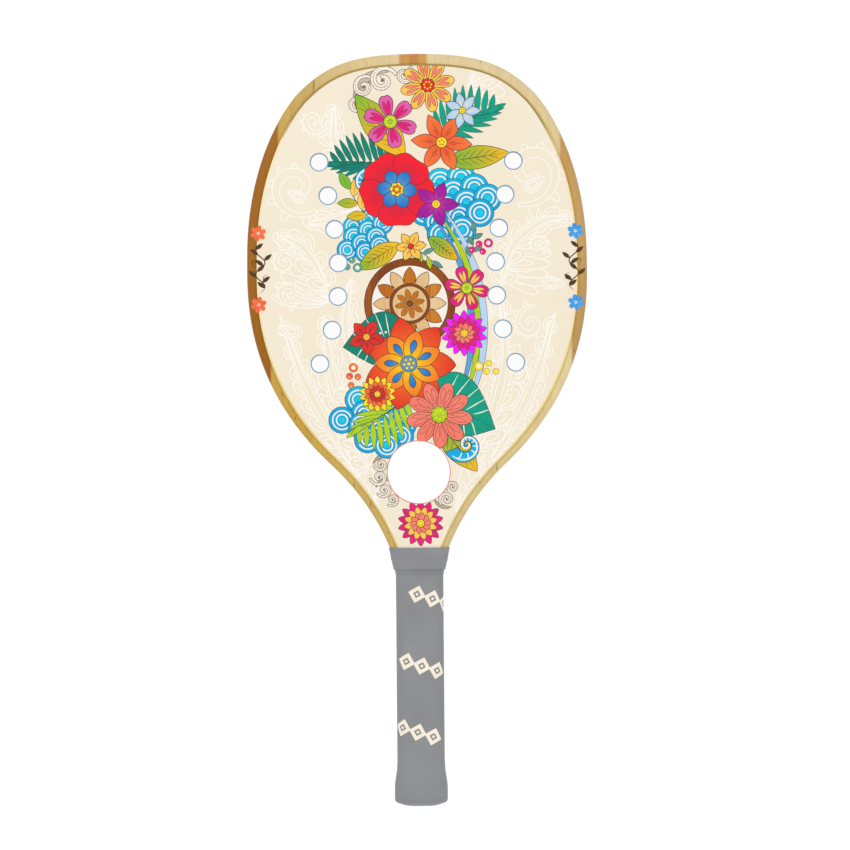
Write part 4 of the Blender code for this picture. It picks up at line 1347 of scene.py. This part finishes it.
# Figures up the middle of the face: tag, place, size and turn, then what their function asks for
COLUMN = (
    (scales, "upper", 27, 146, 34, 12, (2, 0), (3, 0), (4, 0), (3, 0), (2, -0.2)),
    (scales, "lower", -30, 6, 32, -16, (2, 0.1), (3, 0), (3, 0.2), (4, 0), (2, 0.2)),
    (scales, "left", -31, 124, 25, 24, (2, 0), (3, 0.1), (3, -0.2), (2, 0)),
    (ribbons, "", 0, 0, 1000, 0,
     ((0.016, 0.142), (0.028, 0.122), (0.037, 0.096), (0.040, 0.066), (0.036, 0.036),
      (0.024, 0.010)),
     ("sky", 0.0042, 0.0046), ("lime", 0.0, 0.0040), ("blue", -0.0040, 0.0040)),
    (frond, "upper", 14, 196, 44, -52, "teal"),
    (frond, "left", -16, 176, -40, 74, "deep_teal"),
    (leaf, "upper_left", -8, 182, 52, 38, "green_gold", 0.40),
    (leaf, "upper_right", 20, 178, 42, -82, "gold_green", 0.36),
    (sprig, "left", -30, 140, 26, 50, ("green_gold", "gold"), 0.3, 0.50, 0.24),
    (medallion, "", -5, 84, 30),
    (heart_leaf, "lower", 10, 22, 44, -118, "teal"),
    (heart_leaf, "left", -12, 62, 36, 100, "deep_teal"),
    (frond, "lower", -8, 22, 42, 138, "lime"),
    (leaf, "lower", 14, 4, 40, -142, "gold_green", 0.44),
    (shell, "lower", 32, -10, 15, 200),
    (shell, "upper", -33, 164, 14, 20),
    (sprig, "small", 34, 112, 20, -30, ("sea",), -0.4),
    (leaf, "middle", -12, 124, 32, 122, "green_gold", 0.42),
    (leaf, "middle_right", 8, 128, 24, -128, "gold_green", 0.44),
    (sprig, "dark", -6, 122, 20, -106, ("sea", "lime"), 0.3, 0.40),
    (daisy, "gold", 8, 229, 18, 12, 8, "gold", "coral", "scarlet"),
    (cosmos, "pink", -17, 205, 18, 4, "pink", "magenta", "lime"),
    (star, "orange", 17, 191, 20, 14, 6, "orange", "line", "yellow"),
    (star, "sky", 31, 212, 12, 0, 7, "sky", "yellow", "yellow"),
    (poppy, "red", -13, 160, 25, 20, "red", "blue", "yellow"),
    (star, "violet", 13, 150, 15, 40, 5, "violet", "line", "yellow", 0.54),
    (star, "gold", -4, 122, 10, 24, 6, "gold", "brick", "scarlet", 0.56),
    (cosmos, "magenta", 33, 94, 15, 10, "magenta", "gold", "lime"),
    (dahlia, "fuchsia", 31, 64, 15, 0, "fuchsia", "magenta", "coral"),
    (lotus, "fire", -6, 44, 31, 8, "ember", "fire", "blue"),
    (star, "scarlet", -34, 62, 12, 30, 5, "scarlet", "line", "gold", 0.6),
    (daisy, "coral", 14, 10, 22, 22, 9, "coral", "coral", "lime"),
    (dahlia, "throat", 1, -62, 15, 0, "magenta", "gold", "coral"),
    (dahlia, "gold", -27, 24, 12, 0, "yellow", "orange", "scarlet"),
    (beads, "teal", -44, 112, 8, 0, "sea"),
    (beads, "magenta", 42, 122, 8, 60, "magenta"),
    (beads, "gold", 46, 40, 8, 200, "yellow"),
    (beads, "orange", -44, 36, 8, 120, "orange"),
)


# Figures at the right side of the face, mirrored to the left: place, size and the blooms' turn
SIDE_BLOOMS = ((105.4, 131.5, 5.4, 10), (105.4, 84.0, 5.4, 10))
SIDE_VINE = (104.2, 92, 32)


def rim_figures():
    """Wood marks and side blooms, which run over the rim, and the rings round the holes."""
    yield drawn(wood_marks, over_rim=True)
    for side, tag, ink in ((-1, "left", "bud_coral"), (1, "right", "bud_blue")):
        for x, y, size, turn in SIDE_BLOOMS:
            yield drawn(bloom, f"{tag}_{y:.0f}", side * x, y, size, side * turn, ink, over_rim=True)
        x, y, size = SIDE_VINE
        yield drawn(vine, tag, side * x, y, size, 0, -side, over_rim=True)
    yield drawn(hole_rings, size=1000)
    yield drawn(throat_ring, y=THROAT_HOLE_Y / MM, size=THROAT_HOLE_RADIUS / MM)


def face_figures():
    """Every figure of a face, from the lowest to the topmost."""
    column = [drawn(*row) for row in COLUMN]
    return [*white_ornament(), *engraving(), *column, *rim_figures()]


# Print, cut out of the face

def partition(loops, lines):
    """Cuts the plane along loops and lines: each triangle comes with the loops that hold it."""
    points, edges, faces = [], [], []
    for loop in loops:
        faces.append(list(range(len(points), len(points) + len(loop))))
        points.extend(Vector(point) for point in loop)
    for line in lines:
        numbers = range(len(points), len(points) + len(line))
        edges.extend(zip(numbers, numbers[1:]))
        points.extend(Vector(point) for point in line)
    places, _, triangles, _, _, origins = delaunay_2d_cdt(points, edges, faces, INSIDE, SAME_POINT)
    return places, [(triangle, set(origin)) for triangle, origin in zip(triangles, origins)]


def rim_height(point, stations):
    """Height of the rim's front over the film, at a point on the rim."""
    place = Vector((point.x, TIP_Y - point.y))
    nearest = math.inf
    for (start, _), (end, _) in zip(stations, stations[1:]):
        share = intersect_point_line(place, start, end)[1]
        foot = blend(start, end, min(max(share, 0.0), 1.0))
        nearest = min(nearest, (place - foot).length)
    top = HALF_THICKNESS
    if nearest < EDGE_RADIUS:
        top += math.sqrt(EDGE_RADIUS ** 2 - (EDGE_RADIUS - nearest) ** 2) - EDGE_RADIUS
    top -= min(max(nearest - rim_width(place.y) + RIM_CHAMFER, 0.0), RIM_CHAMFER)
    return top - FILM_TOP


def shown_parts(figures):
    """What shows of every figure: lists of (ink, triangle, whether it lies on the rim)."""
    rim_steps = [EDGE_RADIUS * (1 - math.cos(angle)) for angle in PRINTED_ARC]
    loops = [edge_outline(rim_steps[0])]
    owners = [None]
    for number, figure in enumerate(figures):
        for ink, loop in figure.placed():
            loops.append(loop)
            owners.append((number, ink))
    first_hole = len(loops)
    loops += [disc(*place) for place in hole_places()]
    film, inside = len(loops), len(loops) + 1
    loops += [face_outline(depth) for depth in (FILM_MARGIN, SHADE_GLEAM_WIDTH)]
    lines = [edge_outline(step) for step in rim_steps[1:]]
    lines += [face_outline(depth) for depth in (-RIM_CHAMFER, 0.0)]
    places, triangles = partition(loops, lines)
    shown = {}
    for triangle, origin in triangles:
        if 0 not in origin or any(first_hole <= face < film for face in origin):
            continue
        owner = owners[max(face for face in origin if face < first_hole)]
        if not (owner and figures[owner[0]].over_rim):
            if film not in origin:
                continue
            # Where no figure runs over it, the band inside the rim takes the painted shade and
            # highlight
            if inside not in origin:
                owner = (len(figures), "edge_line")
        if owner and owner[1] != "clear":
            shown.setdefault(owner[0], []).append((owner[1], triangle, film not in origin))
    return places, sorted(shown.items())


def print_meshes(figures):
    """(name, where it stands, mesh) of every figure that shows, and of the painted shade and
    highlight line along the rim.
    """
    places, shown = shown_parts(figures)
    # A figure for the painted shade and highlight line along the rim
    figures = figures + [Figure("rim_shade_gleam_line")]
    stations = outline_stations()
    for number, parts in shown:
        figure = figures[number]
        inks = sorted({ink for ink, _, _ in parts})
        stand = figure.frame(inks)
        back = stand.inverted()
        used = sorted({(index, on_rim) for _, triangle, on_rim in parts for index in triangle})
        local = {key: position for position, key in enumerate(used)}
        points = []
        for index, on_rim in used:
            height = rim_height(places[index], stations) if on_rim else 0.0
            points.append(back @ Vector((*places[index], height)))
        faces = [[local[index, on_rim] for index in triangle] for _, triangle, on_rim in parts]
        mesh = skin_mesh(figure.name, points, faces)
        for ink in inks:
            mesh.materials.append(print_material(ink))
        mesh.polygons.foreach_set("material_index", [inks.index(ink) for ink, _, _ in parts])
        yield figure.name, stand, mesh


def build_print():
    front = Matrix.Translation((0.0, 0.0, MIDPLANE + FILM_TOP + INK_LIFT))
    over = Matrix.Rotation(math.pi, 4, "Y")
    back = Matrix.Translation((0.0, 0.0, MIDPLANE - FILM_TOP - INK_LIFT)) @ over
    for name, placed, mesh in print_meshes(face_figures()):
        for side, stand in (("front", front), ("back", back)):
            add_piece(f"{side}_{name}", mesh, "printed_film", matrix=stand @ placed, smooth=False)


def round_handle(along, offset):
    """(across, height) on the handle's skin, a way round from the middle of its front."""
    half_width, half_height = HANDLE_HALF_WIDTH + offset, HANDLE_HALF_THICKNESS + offset
    corner = HANDLE_CORNER + offset
    flat, bend = half_width - corner, corner * math.pi / 2
    side, way = (-1 if along < 0 else 1), abs(along)
    if way < flat:
        return along, half_height
    if way < flat + bend:
        angle = (way - flat) / corner
        across, down = corner * math.sin(angle), corner * (1 - math.cos(angle))
        return side * (flat + across), half_height - down
    return side * half_width, half_height - corner - (way - flat - bend)


def build_grip_marks():
    """Cream chains of lozenges, printed on the wrap and bent round the handle."""
    made = print_material("grip_cream")
    loops = []
    for middle in MARK_MIDDLES:
        for size in MARK_SIZES:
            lozenge = [(middle - size, 0.0), (middle, -size), (middle + size, 0.0), (middle, size)]
            loops.append(turned(lozenge, MARK_TURN))
    for name, along, reach, side in MARKS:
        lines = []
        for step in range(-MARK_BENDS, MARK_BENDS + 1):
            across = step * MARK_BEND - along
            lines.append([(across, -MARK_HALF_HEIGHT), (across, MARK_HALF_HEIGHT)])
        places, triangles = partition(loops, lines)
        points = []
        for place in places:
            across, height = round_handle(along + place.x, WRAP_OFFSET + 2 * INK_LIFT)
            points.append(on_racket(side * across, reach + place.y, side * height))
        faces = [triangle for triangle, origin in triangles
                 if origin and max(origin) % len(MARK_SIZES) != BARE_SIZE]
        mesh = skin_mesh(name, points, faces if side < 0 else [face[::-1] for face in faces])
        add_piece(name, mesh, "grip_wrap", made)


# Studio

def build_floor():
    """A wide pale floor. What the camera sees of it glows a little, so that only shade tints it."""
    made = Finish("studio_floor", roughness=0.9, specular=0.0)
    tone = made.noise(3.0, 1.0)
    made.done(made.mix(tone, grey(0.86), grey(0.88)))
    pale = made.node("BsdfDiffuse", {"Color": grey(0.10)})
    glow = made.node("Emission", {"Color": grey(1.0), "Strength": FLOOR_GLOW})
    both = made.node("AddShader", {0: pale.outputs[0], 1: glow.outputs[0]})
    surface = made.by_view(made.shader.outputs[0], both.outputs[0])
    made.plug(surface, made.tree.nodes["Material Output"].inputs["Surface"])
    corners = [(x * FLOOR_HALF_WIDTH, y * FLOOR_HALF_WIDTH, 0.0)
               for x, y in ((-1, -1), (1, -1), (1, 1), (-1, 1))]
    mesh = skin_mesh("studio_floor", corners, [(0, 1, 2, 3)])
    mesh.materials.append(made.material)
    new_object("studio_floor", mesh)


def build_world():
    world = bpy.data.worlds.new("studio")
    bpy.context.scene.world = world
    world.use_nodes = True
    world.node_tree.nodes.clear()
    made = Nodes(world.node_tree)
    ambient, shown = (made.node("Background", {"Color": grey(1.0), "Strength": strength}).outputs[0]
                      for strength in (WORLD_LIGHT, 1.0))
    made.node("OutputWorld", {"Surface": made.by_view(ambient, shown)})


def add_lamp(name, power, size, place):
    lamp = bpy.data.lights.new(name, "AREA")
    lamp.energy = power
    lamp.size = size
    holder = new_object(name, lamp)
    holder.location = place
    holder.rotation_euler = (-Vector(place)).to_track_quat("-Z", "Y").to_euler()


def build_studio():
    build_floor()
    build_world()
    for lamp in LAMPS:
        add_lamp(*lamp)
    camera = new_object("camera", bpy.data.cameras.new("camera"))
    camera.data.lens = LENS
    camera.data.sensor_width = SENSOR
    distance = VIEW_WIDTH * LENS / SENSOR
    camera.location = (*VIEW_CENTRE, MIDPLANE + HALF_THICKNESS + distance)
    camera.rotation_euler = (0.0, 0.0, VIEW_TURN)
    bpy.context.scene.camera = camera
    bpy.context.scene.view_settings.view_transform = "Standard"


build_studio()
build_head()
build_handle()
build_print()
build_grip_marks()
